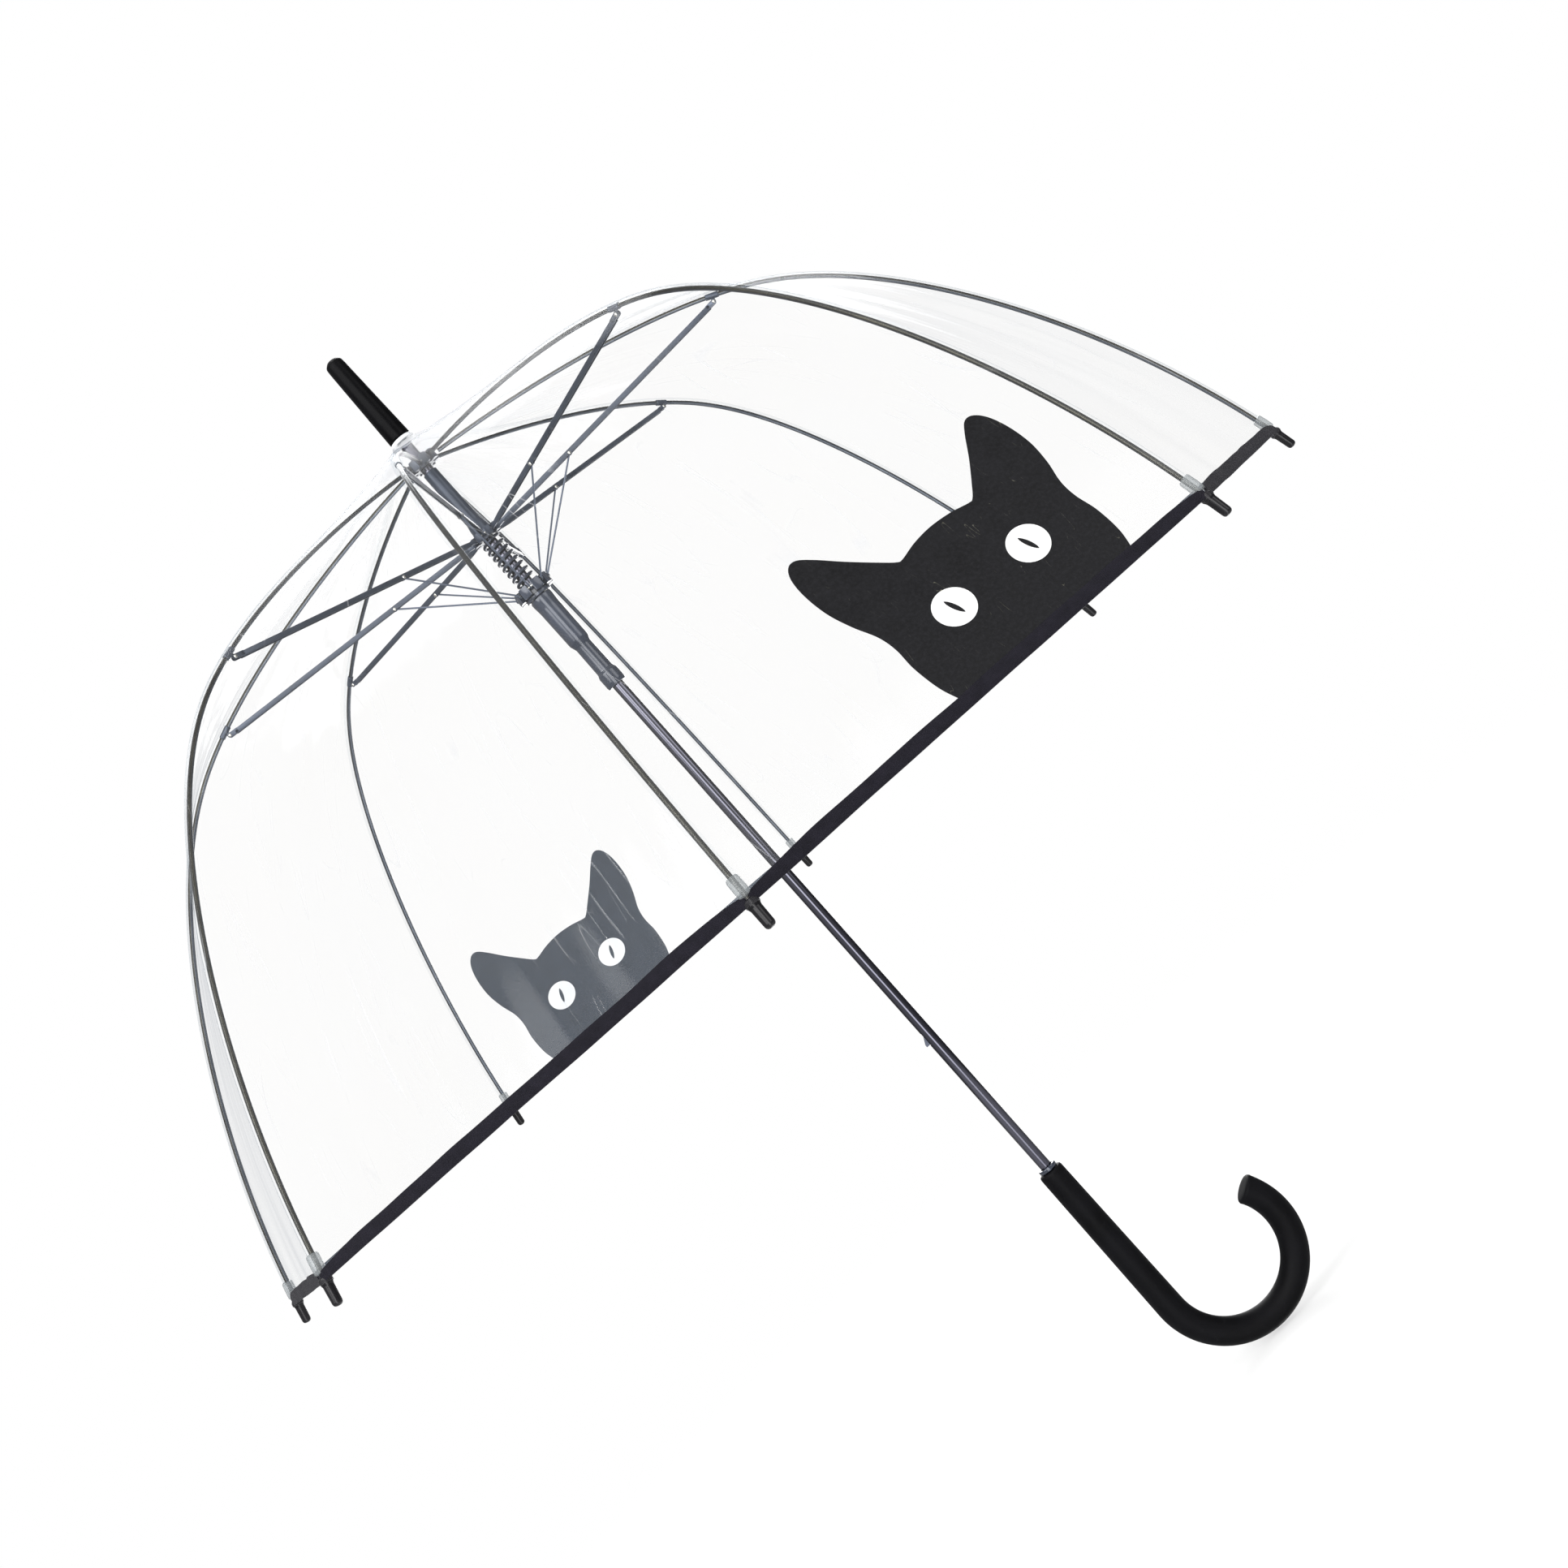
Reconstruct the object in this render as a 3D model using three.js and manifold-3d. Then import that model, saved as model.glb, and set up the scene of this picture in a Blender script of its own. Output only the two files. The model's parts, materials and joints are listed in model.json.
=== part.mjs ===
// A dome umbrella with a clear film canopy on eight ribs.
// Millimetres. +Z runs up the shaft to the ferrule, whose flat end face is the origin.
// The crook of the handle lies in the XZ plane and points to +X.
import * as THREE from "three";
import { mergeVertices } from "three/addons/utils/BufferGeometryUtils.js";
import Module from "manifold-3d";

const wasm = await Module();
wasm.setup();

// Ribs. Each rib lies in its own plane through the shaft, where a point is (radius, height).
const RIB_COUNT = 8;
const FIRST_RIB_DEG = -4.5;
const RIB_RADIUS = 1.6;
const NOTCH_PIVOT = [9, -89.5];
const FLEX_POINT = [250, -154];
const RIB_TIP = [424, -452];
const FLEX_GAP = 0.8; // half the gap between the two lengths of a rib
const STRETCHER_PLACE = 0.79; // share of the upper rib curve at which its lug hangs
const LUG_DROP = 4;
const LUG_THICKNESS = 1.2;
const LUG_RADIUS = 1.3;

// Canopy film. It lies outside the ribs and runs straight from rib to rib.
const FILM_THICKNESS = 0.3;
const FILM_STANDOFF = 2.7;
const FILM_TOP = [9.5, -72.5];
const FILM_END = 0.962; // share of the lower rib curve at which the hem lies
const SEAM_GAP = 0.3;

// Rib tips
const TIP_RADIUS = 2.6;
const TIP_LENGTH = 12;
const TIP_BORE_RADIUS = 2;
const TIP_FLOOR = 2.5;

// Shaft, and the pieces fixed on it
const SHAFT_RADIUS = 4;
const SHAFT_INSIDE = 3.2;
const SHAFT_TOP = -30;
const SHAFT_BOTTOM = -738;
const BORE_RADIUS = 4.3;
const FERRULE_LENGTH = 68;
const FERRULE_BASE_RADIUS = 7.9;
const FERRULE_TIP_RADIUS = 6.2;
const FERRULE_FLAT_RADIUS = 3.6;
const NOTCH_RADIUS = 11.5;
const NOTCH_TOP = -86;
const NOTCH_BOTTOM = -93;
const SLOT_WIDTH = 3.8;

// Sliding pieces
const HUB_PIVOT = [10, -152];
const HUB_RADIUS = 11;
const HUB_HEIGHT = 6;
const CROWN_PIVOT = [12.5, -198];
const CROWN_RADIUS = 13.5;
const CROWN_TOP = -195;
const CROWN_BOTTOM = -205;
const SLEEVE_BOTTOM = -281;
const RUNNER_TRAVEL = 309.967;
const SPRING_RADIUS = 6.2;
const SPRING_WIRE = 0.6;
const SPRING_TURNS = 7;

// Stretchers and struts
const CHANNEL_HALF_WIDTH = 1.6;
const CHANNEL_HALF_INSIDE = 0.9;
const CHANNEL_TOP = 1.3;
const CHANNEL_WEB = 0.6;
const CHANNEL_BOTTOM = -2;
const CHANNEL_START = 4.5; // clear of the rib lug
const STRETCHER_SHORT = 8; // open pivot: the stretcher ends this far before the hub pivot
const STRUT_PLACE = 66; // from the hub pivot to the strut's pivot
const STRUT_DROP = 1;
const STRUT_RADIUS = 0.6;

// Catch
const CATCH_TOP = -579.5;
const CATCH_BOTTOM = -588;
const CATCH_REACH = 6.4;
const CATCH_HALF_WIDTH = 1;
const CATCH_GAP = 0.6;

// Handle
const HANDLE_TOP = -698.6;
const HANDLE_TOP_RADIUS = 8.5;
const CROOK_START = -815;
const CROOK_BEND = 46;
const CROOK_TURN_DEG = 213;
const CROOK_RADIUS = 9.4;

const turn = (degrees) => THREE.MathUtils.degToRad(degrees);
const inRibPlane = ([radius, height]) => new THREE.Vector3(radius, 0, height);

// A closed geometry as a solid that can be joined and cut.
function solidOf(geometry) {
  const bare = geometry.index ? geometry.toNonIndexed() : geometry.clone();
  bare.deleteAttribute("normal");
  bare.deleteAttribute("uv");
  const merged = mergeVertices(bare, 1e-3);
  return new wasm.Manifold(
    new wasm.Mesh({
      numProp: 3,
      vertProperties: new Float32Array(merged.attributes.position.array),
      triVerts: new Uint32Array(merged.index.array),
    }),
  );
}

function geometryOf(solid) {
  const mesh = solid.getMesh();
  const geometry = new THREE.BufferGeometry();
  geometry.setAttribute("position", new THREE.BufferAttribute(mesh.vertProperties, 3));
  geometry.setIndex(new THREE.BufferAttribute(mesh.triVerts, 1));
  const flat = geometry.toNonIndexed();
  flat.computeVertexNormals();
  return flat;
}

function joined(...geometries) {
  const solids = geometries.map(solidOf);
  return geometryOf(solids.slice(1).reduce((whole, solid) => whole.add(solid), solids[0]));
}

function cut(geometry, ...tools) {
  return geometryOf(tools.map(solidOf).reduce((rest, tool) => rest.subtract(tool), solidOf(geometry)));
}

// A solid of revolution about Z from its (radius, height) profile.
function turned(profile, segments = 20) {
  const points = profile.map(([radius, height]) => new THREE.Vector2(radius, height));
  return new THREE.LatheGeometry(points, segments).rotateX(Math.PI / 2);
}

function ring(inner, outer, bottom, top, segments) {
  const profile = [[inner, bottom], [outer, bottom], [outer, top], [inner, top], [inner, bottom]];
  return turned(profile, segments);
}

function block(lowX, highX, lowY, highY, lowZ, highZ) {
  const geometry = new THREE.BoxGeometry(highX - lowX, highY - lowY, highZ - lowZ);
  return geometry.translate((lowX + highX) / 2, (lowY + highY) / 2, (lowZ + highZ) / 2);
}

function roundSection(radius, sides) {
  const corners = [];
  for (let i = 0; i < sides; i++) {
    const angle = ((i + 0.5) * 2 * Math.PI) / sides;
    corners.push(new THREE.Vector2(radius * Math.cos(angle), radius * Math.sin(angle)));
  }
  return new THREE.Shape(corners);
}

function rod(curve, radius, sides, steps) {
  const options = { extrudePath: curve, steps, bevelEnabled: false };
  return new THREE.ExtrudeGeometry(roundSection(radius, sides), options);
}

// A flat plate in the rib plane, with its outline as (radius, height) and centred on the plane.
function plate(shape, thickness) {
  const options = { depth: thickness, bevelEnabled: false, curveSegments: 5 };
  return new THREE.ExtrudeGeometry(shape, options).rotateX(Math.PI / 2).translate(0, thickness / 2, 0);
}

// The piece of a curve between two distances along it.
function stretchOf(curve, from, to, count) {
  const length = curve.getLength();
  const points = [];
  for (let i = 0; i <= count; i++) {
    points.push(curve.getPointAt((from + ((to - from) * i) / count) / length));
  }
  return new THREE.CatmullRomCurve3(points);
}

// The rib's centreline, in two curves that meet at the flex point.
const upperCurve = new THREE.CubicBezierCurve3(
  inRibPlane(NOTCH_PIVOT),
  inRibPlane([95, -97]),
  inRibPlane([200, -120]),
  inRibPlane(FLEX_POINT),
);
const lowerCurve = new THREE.CubicBezierCurve3(
  inRibPlane(FLEX_POINT),
  inRibPlane([322, -201]),
  inRibPlane([396, -330]),
  inRibPlane(RIB_TIP),
);

// The unit normal of a curve in the rib plane, on the side away from the shaft.
function outwardNormal(curve, t) {
  const along = curve.getTangent(t);
  return new THREE.Vector3(-along.z, 0, along.x);
}

const lugRoot = upperCurve.getPoint(STRETCHER_PLACE);
const lugPivot = lugRoot.clone().addScaledVector(outwardNormal(upperCurve, STRETCHER_PLACE), -LUG_DROP);
const hubPivot = inRibPlane(HUB_PIVOT);
const crownPivot = inRibPlane(CROWN_PIVOT);
const inwards = hubPivot.clone().sub(lugPivot).normalize();
const overStretcher = new THREE.Vector3(inwards.z, 0, -inwards.x);
const strutPivot = hubPivot.clone()
  .addScaledVector(inwards, -STRUT_PLACE)
  .addScaledVector(overStretcher, -STRUT_DROP);

function upperRib() {
  const line = stretchOf(upperCurve, 0, upperCurve.getLength() - FLEX_GAP, 6);
  const tab = new THREE.Shape();
  tab.moveTo(-LUG_RADIUS, 0);
  tab.lineTo(-LUG_RADIUS, -LUG_DROP);
  tab.absarc(0, -LUG_DROP, LUG_RADIUS, Math.PI, 2 * Math.PI, false);
  tab.lineTo(LUG_RADIUS, 0);
  const along = upperCurve.getTangent(STRETCHER_PLACE);
  const lug = plate(tab, LUG_THICKNESS)
    .rotateY(-Math.atan2(along.z, along.x))
    .translate(lugRoot.x, 0, lugRoot.z);
  return joined(rod(line, RIB_RADIUS, 8, 6), lug);
}

function lowerRib() {
  const end = lowerCurve.getLength() - TIP_FLOOR - 0.5;
  return rod(stretchOf(lowerCurve, FLEX_GAP, end, 9), RIB_RADIUS, 8, 9);
}

function ribTip() {
  const halfWay = 1 - TIP_LENGTH / 2 / lowerCurve.getLength();
  const backwards = lowerCurve.getPointAt(halfWay).sub(inRibPlane(RIB_TIP)).normalize();
  const lean = new THREE.Quaternion().setFromUnitVectors(new THREE.Vector3(0, 0, 1), backwards);
  const cap = turned([
    [0, 0],
    [TIP_RADIUS - 0.7, 0],
    [TIP_RADIUS, 0.8],
    [TIP_RADIUS, TIP_LENGTH],
    [TIP_BORE_RADIUS, TIP_LENGTH],
    [TIP_BORE_RADIUS, TIP_FLOOR],
    [0, TIP_FLOOR],
  ], 10);
  return cap.applyQuaternion(lean).translate(RIB_TIP[0], 0, RIB_TIP[1]);
}

// A U channel, open underneath, with a fork at its outer end that straddles the rib lug.
function stretcher() {
  const section = new THREE.Shape([
    new THREE.Vector2(-CHANNEL_HALF_WIDTH, CHANNEL_TOP),
    new THREE.Vector2(-CHANNEL_HALF_WIDTH, CHANNEL_BOTTOM),
    new THREE.Vector2(-CHANNEL_HALF_INSIDE, CHANNEL_BOTTOM),
    new THREE.Vector2(-CHANNEL_HALF_INSIDE, CHANNEL_WEB),
    new THREE.Vector2(CHANNEL_HALF_INSIDE, CHANNEL_WEB),
    new THREE.Vector2(CHANNEL_HALF_INSIDE, CHANNEL_BOTTOM),
    new THREE.Vector2(CHANNEL_HALF_WIDTH, CHANNEL_BOTTOM),
    new THREE.Vector2(CHANNEL_HALF_WIDTH, CHANNEL_TOP),
  ]);
  const length = hubPivot.distanceTo(lugPivot) - STRETCHER_SHORT - CHANNEL_START;
  const acrossUpAlong = new THREE.Matrix4().makeBasis(
    new THREE.Vector3(0, 1, 0),
    new THREE.Vector3(0, 0, 1),
    new THREE.Vector3(1, 0, 0),
  );
  const channel = new THREE.ExtrudeGeometry(section, { depth: length, bevelEnabled: false })
    .applyMatrix4(acrossUpAlong)
    .translate(CHANNEL_START, 0, 0);
  const cheek = new THREE.Shape();
  cheek.moveTo(0, -CHANNEL_TOP);
  cheek.lineTo(CHANNEL_START + 1.5, -CHANNEL_TOP);
  cheek.lineTo(CHANNEL_START + 1.5, CHANNEL_TOP);
  cheek.lineTo(0, CHANNEL_TOP);
  cheek.absarc(0, 0, CHANNEL_TOP, Math.PI / 2, (3 * Math.PI) / 2, false);
  const wall = CHANNEL_HALF_WIDTH - CHANNEL_HALF_INSIDE;
  const middle = (CHANNEL_HALF_WIDTH + CHANNEL_HALF_INSIDE) / 2;
  const left = plate(cheek, wall).translate(0, middle, 0);
  const right = plate(cheek, wall).translate(0, -middle, 0);
  const place = new THREE.Matrix4()
    .makeBasis(inwards, new THREE.Vector3(0, -1, 0), overStretcher)
    .setPosition(lugPivot);
  return joined(channel, left, right).applyMatrix4(place);
}

function strut() {
  return rod(new THREE.LineCurve3(strutPivot, crownPivot), STRUT_RADIUS, 6, 1);
}

// One gore of film between two ribs, about the XZ plane half-way between them.
// It is a thin strip along the dome's profile, made straight across and widened to reach both ribs.
function gore() {
  const halfAngle = Math.PI / RIB_COUNT;
  const crown = new THREE.CubicBezierCurve3(
    inRibPlane(FILM_TOP),
    inRibPlane([40, -86]),
    inRibPlane([95, -97.5]),
    upperCurve.getPoint(0.5).addScaledVector(outwardNormal(upperCurve, 0.5), FILM_STANDOFF),
  );
  const profile = crown.getPoints(3);
  const normals = [0, 1, 2, 3].map((i) => outwardNormal(crown, i / 3));
  const follow = (curve, from, to, count) => {
    for (let i = 1; i <= count; i++) {
      const t = from + ((to - from) * i) / count;
      const normal = outwardNormal(curve, t);
      profile.push(curve.getPoint(t).addScaledVector(normal, FILM_STANDOFF));
      normals.push(normal);
    }
  };
  follow(upperCurve, 0.5, 1, 3);
  follow(lowerCurve, 0, FILM_END, 7);
  const inner = profile.map((p) => new THREE.Vector2(p.x, p.z));
  const outer = inner.map((p, i) => new THREE.Vector2(
    p.x + normals[i].x * FILM_THICKNESS,
    p.y + normals[i].z * FILM_THICKNESS,
  ));
  const outline = [...inner, ...outer.reverse()];
  outline.forEach((p) => (p.x *= Math.cos(halfAngle)));
  const sheet = plate(new THREE.Shape(outline), 1);
  const place = sheet.attributes.position;
  for (let i = 0; i < place.count; i++) {
    const reach = place.getX(i) * Math.tan(halfAngle) - SEAM_GAP / 2;
    place.setY(i, Math.sign(place.getY(i)) * reach);
  }
  sheet.computeVertexNormals();
  return sheet;
}

// A ring on the shaft with a slot open to the outside at each rib.
function slottedRing(outer, bottom, top, slotFloor) {
  const slots = [];
  for (let i = 0; i < RIB_COUNT; i++) {
    const slot = block(slotFloor, outer + 2, -SLOT_WIDTH / 2, SLOT_WIDTH / 2, bottom - 1, top + 1);
    slots.push(slot.rotateZ(turn(FIRST_RIB_DEG + (i * 360) / RIB_COUNT)));
  }
  return cut(ring(BORE_RADIUS, outer, bottom, top, 24), ...slots);
}

function shaft() {
  const tube = ring(SHAFT_INSIDE, SHAFT_RADIUS, SHAFT_BOTTOM, SHAFT_TOP, 20);
  const reach = CATCH_HALF_WIDTH + 0.4;
  return cut(tube, block(-SHAFT_RADIUS - 1, -1, -reach, reach, CATCH_BOTTOM - CATCH_GAP, CATCH_TOP + CATCH_GAP));
}

// A spring leaf inside the shaft, with a nose that has a ramp above and a flat hook below.
function catchPiece() {
  const outline = [
    [-2.7, CATCH_BOTTOM - 4],
    [-2.1, CATCH_BOTTOM - 4],
    [-2.1, CATCH_TOP + 20],
    [-2.7, CATCH_TOP + 20],
    [-2.7, CATCH_TOP],
    [-CATCH_REACH, CATCH_BOTTOM + 1.5],
    [-CATCH_REACH, CATCH_BOTTOM],
    [-2.7, CATCH_BOTTOM],
  ];
  return plate(new THREE.Shape(outline.map(([x, z]) => new THREE.Vector2(x, z))), 2 * CATCH_HALF_WIDTH);
}

function ferrule() {
  return turned([
    [0, SHAFT_TOP + 2],
    [BORE_RADIUS, SHAFT_TOP + 2],
    [BORE_RADIUS, -FERRULE_LENGTH],
    [FERRULE_BASE_RADIUS, -FERRULE_LENGTH],
    [FERRULE_TIP_RADIUS + 0.3, -6],
    [FERRULE_TIP_RADIUS, -3],
    [FERRULE_TIP_RADIUS - 1, -0.9],
    [FERRULE_FLAT_RADIUS, 0],
    [0, 0],
  ], 24);
}

// The runner's lower sleeve: a thick grip, a thinner neck and an end collar with the catch window.
function runnerSleeve() {
  const body = turned([
    [BORE_RADIUS, SLEEVE_BOTTOM],
    [6.2, SLEEVE_BOTTOM],
    [6.2, SLEEVE_BOTTOM + 12],
    [5.2, SLEEVE_BOTTOM + 12.5],
    [5.2, -245.5],
    [6, -245],
    [6, CROWN_BOTTOM - 0.3],
    [BORE_RADIUS, CROWN_BOTTOM - 0.3],
    [BORE_RADIUS, SLEEVE_BOTTOM],
  ], 20);
  const low = CATCH_BOTTOM - CATCH_GAP + RUNNER_TRAVEL;
  const high = CATCH_TOP + CATCH_GAP + RUNNER_TRAVEL;
  return cut(body, block(-8, -3, -1.6, 1.6, low, high));
}

class Helix extends THREE.Curve {
  constructor(radius, bottom, top, turns) {
    super();
    Object.assign(this, { radius, bottom, top, turns });
  }
  getPoint(t, target = new THREE.Vector3()) {
    const angle = t * this.turns * 2 * Math.PI;
    const height = this.bottom + t * (this.top - this.bottom);
    return target.set(this.radius * Math.cos(angle), this.radius * Math.sin(angle), height);
  }
}

function mainSpring() {
  const room = SPRING_WIRE + 0.5;
  const bottom = CROWN_TOP + room;
  const top = HUB_PIVOT[1] - HUB_HEIGHT / 2 - room;
  return rod(new Helix(SPRING_RADIUS, bottom, top, SPRING_TURNS), SPRING_WIRE, 5, SPRING_TURNS * 10);
}

// A straight grip that runs into a crook, bored at its top for the shaft.
function handle() {
  const grip = turned([
    [0, CROOK_START - 0.5],
    [CROOK_RADIUS, CROOK_START - 0.5],
    [HANDLE_TOP_RADIUS, HANDLE_TOP - 1],
    [HANDLE_TOP_RADIUS - 0.8, HANDLE_TOP],
    [0, HANDLE_TOP],
  ], 20);
  const bend = new THREE.Curve();
  bend.getPoint = (t, target = new THREE.Vector3()) => {
    const angle = t * turn(CROOK_TURN_DEG);
    const x = CROOK_BEND * (1 - Math.cos(angle));
    return target.set(x, 0, CROOK_START - CROOK_BEND * Math.sin(angle));
  };
  const whole = joined(grip, rod(bend, CROOK_RADIUS, 20, 22));
  return cut(whole, ring(0, BORE_RADIUS, SHAFT_BOTTOM - 2, HANDLE_TOP + 5, 20));
}

const group = new THREE.Group();

function material(colour, roughness, metalness) {
  return new THREE.MeshStandardMaterial({ color: colour, roughness, metalness });
}

function add(name, geometry, look, azimuthDeg = 0) {
  const mesh = new THREE.Mesh(geometry, look);
  mesh.name = name;
  mesh.rotation.z = turn(azimuthDeg);
  group.add(mesh);
}

const steel = () => material(0x2b2a28, 0.35, 0.9);
const slate = () => material(0x4a4f5a, 0.45, 0.7);
const blackPlastic = () => material(0x0c0c0e, 0.5, 0);
const clearFilm = () => {
  const look = material(0xf2f5f7, 0.12, 0);
  look.transparent = true;
  look.opacity = 0.22;
  look.side = THREE.DoubleSide;
  return look;
};

add("shaft", shaft(), material(0x3a3a3e, 0.3, 0.95));
add("ferrule", ferrule(), blackPlastic());
add("top_washer", ring(BORE_RADIUS, 9, -71.3, -68.5, 20), material(0xe9edf0, 0.25, 0));
add("top_notch", slottedRing(NOTCH_RADIUS, NOTCH_BOTTOM, NOTCH_TOP, 6.8), slate());
add("catch", catchPiece(), steel());
add("handle_collar", ring(BORE_RADIUS, 6.5, HANDLE_TOP + 0.4, HANDLE_TOP + 3.2, 20), slate());
add("handle", handle(), material(0x0b0b0d, 0.7, 0));
const hubHalf = HUB_HEIGHT / 2;
add("stretcher_hub", slottedRing(HUB_RADIUS, HUB_PIVOT[1] - hubHalf, HUB_PIVOT[1] + hubHalf, 7.2), slate());
add("main_spring", mainSpring(), slate());
add("runner_crown", slottedRing(CROWN_RADIUS, CROWN_BOTTOM, CROWN_TOP, 7.2), slate());
add("runner_sleeve", runnerSleeve(), slate());

for (let i = 0; i < RIB_COUNT; i++) {
  const azimuth = FIRST_RIB_DEG + (i * 360) / RIB_COUNT;
  add("rib_upper_" + (i + 1), upperRib(), steel(), azimuth);
  add("rib_lower_" + (i + 1), lowerRib(), steel(), azimuth);
  add("rib_tip_" + (i + 1), ribTip(), blackPlastic(), azimuth);
  add("stretcher_" + (i + 1), stretcher(), slate(), azimuth);
  add("strut_" + (i + 1), strut(), slate(), azimuth);
  add("canopy_gore_" + (i + 1), gore(), clearFilm(), azimuth + 180 / RIB_COUNT);
}

export default group;
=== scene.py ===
import itertools
import json
import math

import bmesh
import bpy
import numpy as np
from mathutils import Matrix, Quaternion, Vector, noise
from mathutils.geometry import delaunay_2d_cdt


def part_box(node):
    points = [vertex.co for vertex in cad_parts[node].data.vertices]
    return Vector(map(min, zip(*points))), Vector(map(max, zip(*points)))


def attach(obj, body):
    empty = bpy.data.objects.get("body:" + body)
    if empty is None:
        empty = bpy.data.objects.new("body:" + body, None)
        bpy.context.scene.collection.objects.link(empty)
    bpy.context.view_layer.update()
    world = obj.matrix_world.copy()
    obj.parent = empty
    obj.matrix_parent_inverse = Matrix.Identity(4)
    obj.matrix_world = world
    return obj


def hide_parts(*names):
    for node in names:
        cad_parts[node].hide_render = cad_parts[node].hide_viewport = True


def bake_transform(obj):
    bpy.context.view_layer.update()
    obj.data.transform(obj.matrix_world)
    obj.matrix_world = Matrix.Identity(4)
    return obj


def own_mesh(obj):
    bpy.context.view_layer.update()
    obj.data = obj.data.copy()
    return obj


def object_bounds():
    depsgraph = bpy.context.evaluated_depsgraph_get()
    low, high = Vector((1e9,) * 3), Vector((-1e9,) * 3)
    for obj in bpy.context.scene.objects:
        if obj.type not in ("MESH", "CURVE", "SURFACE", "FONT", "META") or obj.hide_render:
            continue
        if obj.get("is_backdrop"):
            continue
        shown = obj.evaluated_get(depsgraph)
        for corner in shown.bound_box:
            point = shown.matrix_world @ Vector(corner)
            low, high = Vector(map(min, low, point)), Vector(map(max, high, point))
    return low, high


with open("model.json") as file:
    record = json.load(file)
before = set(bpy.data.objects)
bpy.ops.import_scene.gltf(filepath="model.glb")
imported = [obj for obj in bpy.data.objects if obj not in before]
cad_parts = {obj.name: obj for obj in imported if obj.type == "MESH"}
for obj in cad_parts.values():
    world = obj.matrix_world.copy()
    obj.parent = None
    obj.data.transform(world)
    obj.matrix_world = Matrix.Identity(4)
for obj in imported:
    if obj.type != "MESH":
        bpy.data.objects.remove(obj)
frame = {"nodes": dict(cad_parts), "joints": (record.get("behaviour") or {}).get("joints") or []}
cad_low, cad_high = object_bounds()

# All lengths in this file are millimetres until a mesh is made. A point in a rib's plane is (radius, height).
METRE = 0.001
RIB_COUNT = 8
HALF_GORE = math.pi / RIB_COUNT
JOINTS = {joint["name"]: joint for joint in frame["joints"]}


def joint_place(name):
    x, y, z = JOINTS[name]["pos_m"]
    return np.array([math.hypot(x, y), z]) / METRE


def azimuth_of(name):
    x, y, _ = JOINTS[name]["pos_m"]
    return math.atan2(y, x)


RIB_AZIMUTHS = [azimuth_of(f"rib_{n}_swing") for n in range(1, RIB_COUNT + 1)]
NOTCH = joint_place("rib_1_swing")
FLEX = joint_place("rib_1_flex")
LUG = joint_place("stretcher_1_fold")
STRUT_PIVOT = joint_place("strut_1_fold")


def heights(node):
    """The lowest and the highest level of a CAD node."""
    low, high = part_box(node)
    return low.z / METRE, high.z / METRE


HUB_PIVOT = np.array([10.0, sum(heights("stretcher_hub")) / 2])
CROWN_PIVOT = np.array([12.5, heights("runner_crown")[1] - 3.0])

# The rib's centreline, in two cubic curves that meet at the flex joint.
UPPER_CURVE = np.array([NOTCH, [95.0, -97.0], [200.0, -120.0], FLEX])
LOWER_CURVE = np.array([FLEX, [322.0, -201.0], [396.0, -330.0], [424.0, -452.0]])
FILM_STANDOFF = 2.7
FILM_TOP = [9.5, -72.5]
HEM_AT = 0.972
HEM_WIDTH = 7.0
COLLAR_RADIUS = 34.0
CREASE = 40.0

noise.seed_set(7)


# -------- curves

def bezier(points, t):
    a, b, c, d = points
    return (1 - t) ** 3 * a + 3 * (1 - t) ** 2 * t * b + 3 * (1 - t) * t**2 * c + t**3 * d


def bezier_slope(points, t):
    a, b, c, d = points
    return 3 * (1 - t) ** 2 * (b - a) + 6 * (1 - t) * t * (c - b) + 3 * t**2 * (d - c)


def outward(slope):
    """The unit normal of a direction in the rib plane, on the side away from the shaft."""
    normal = np.array([-slope[1], slope[0]])
    return normal / np.linalg.norm(normal)


def beside(points, t, distance):
    return bezier(points, t) + outward(bezier_slope(points, t)) * distance


def smooth_curve(points, steps):
    """An open Catmull-Rom curve through a few points."""
    last = len(points) - 1
    result = []
    for i in range(last):
        p0, p1, p2, p3 = (points[min(max(i + k, 0), last)] for k in (-1, 0, 1, 2))
        for step in range(steps):
            t = step / steps
            result.append(0.5 * (
                2 * p1 + (p2 - p0) * t + (2 * p0 - 5 * p1 + 4 * p2 - p3) * t**2
                + (3 * p1 - p0 - 3 * p2 + p3) * t**3
            ))
    return result + [points[-1]]


def rounded(profile, radius, steps=3, closed=False):
    """The profile with each corner rounded by at most radius."""
    points = [np.array(p, float) for p in profile]
    count = len(points)
    result = []
    for i, p in enumerate(points):
        if not closed and i in (0, count - 1):
            result.append(p)
            continue
        before, after = points[i - 1] - p, points[(i + 1) % count] - p
        reach_before = min(radius, np.linalg.norm(before) * 0.45)
        reach_after = min(radius, np.linalg.norm(after) * 0.45)
        start = p + before / np.linalg.norm(before) * reach_before
        end = p + after / np.linalg.norm(after) * reach_after
        for step in range(steps + 1):
            t = step / steps
            result.append((1 - t) ** 2 * start + 2 * (1 - t) * t * p + t**2 * end)
    return result


# -------- mesh parts, each a (vertices, faces) pair

def polar(radius, angle):
    return radius * math.cos(angle), radius * math.sin(angle)


def grid_faces(rows, wide, wraps=False, closes=False):
    """The faces between rows of vertices. A row can wrap into a ring, and the last row close on the first."""
    faces = []
    for i in range(rows if closes else rows - 1):
        j = (i + 1) % rows
        for k in range(wide if wraps else wide - 1):
            m = (k + 1) % wide
            faces.append([i * wide + k, j * wide + k, j * wide + m, i * wide + m])
    return faces


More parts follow.
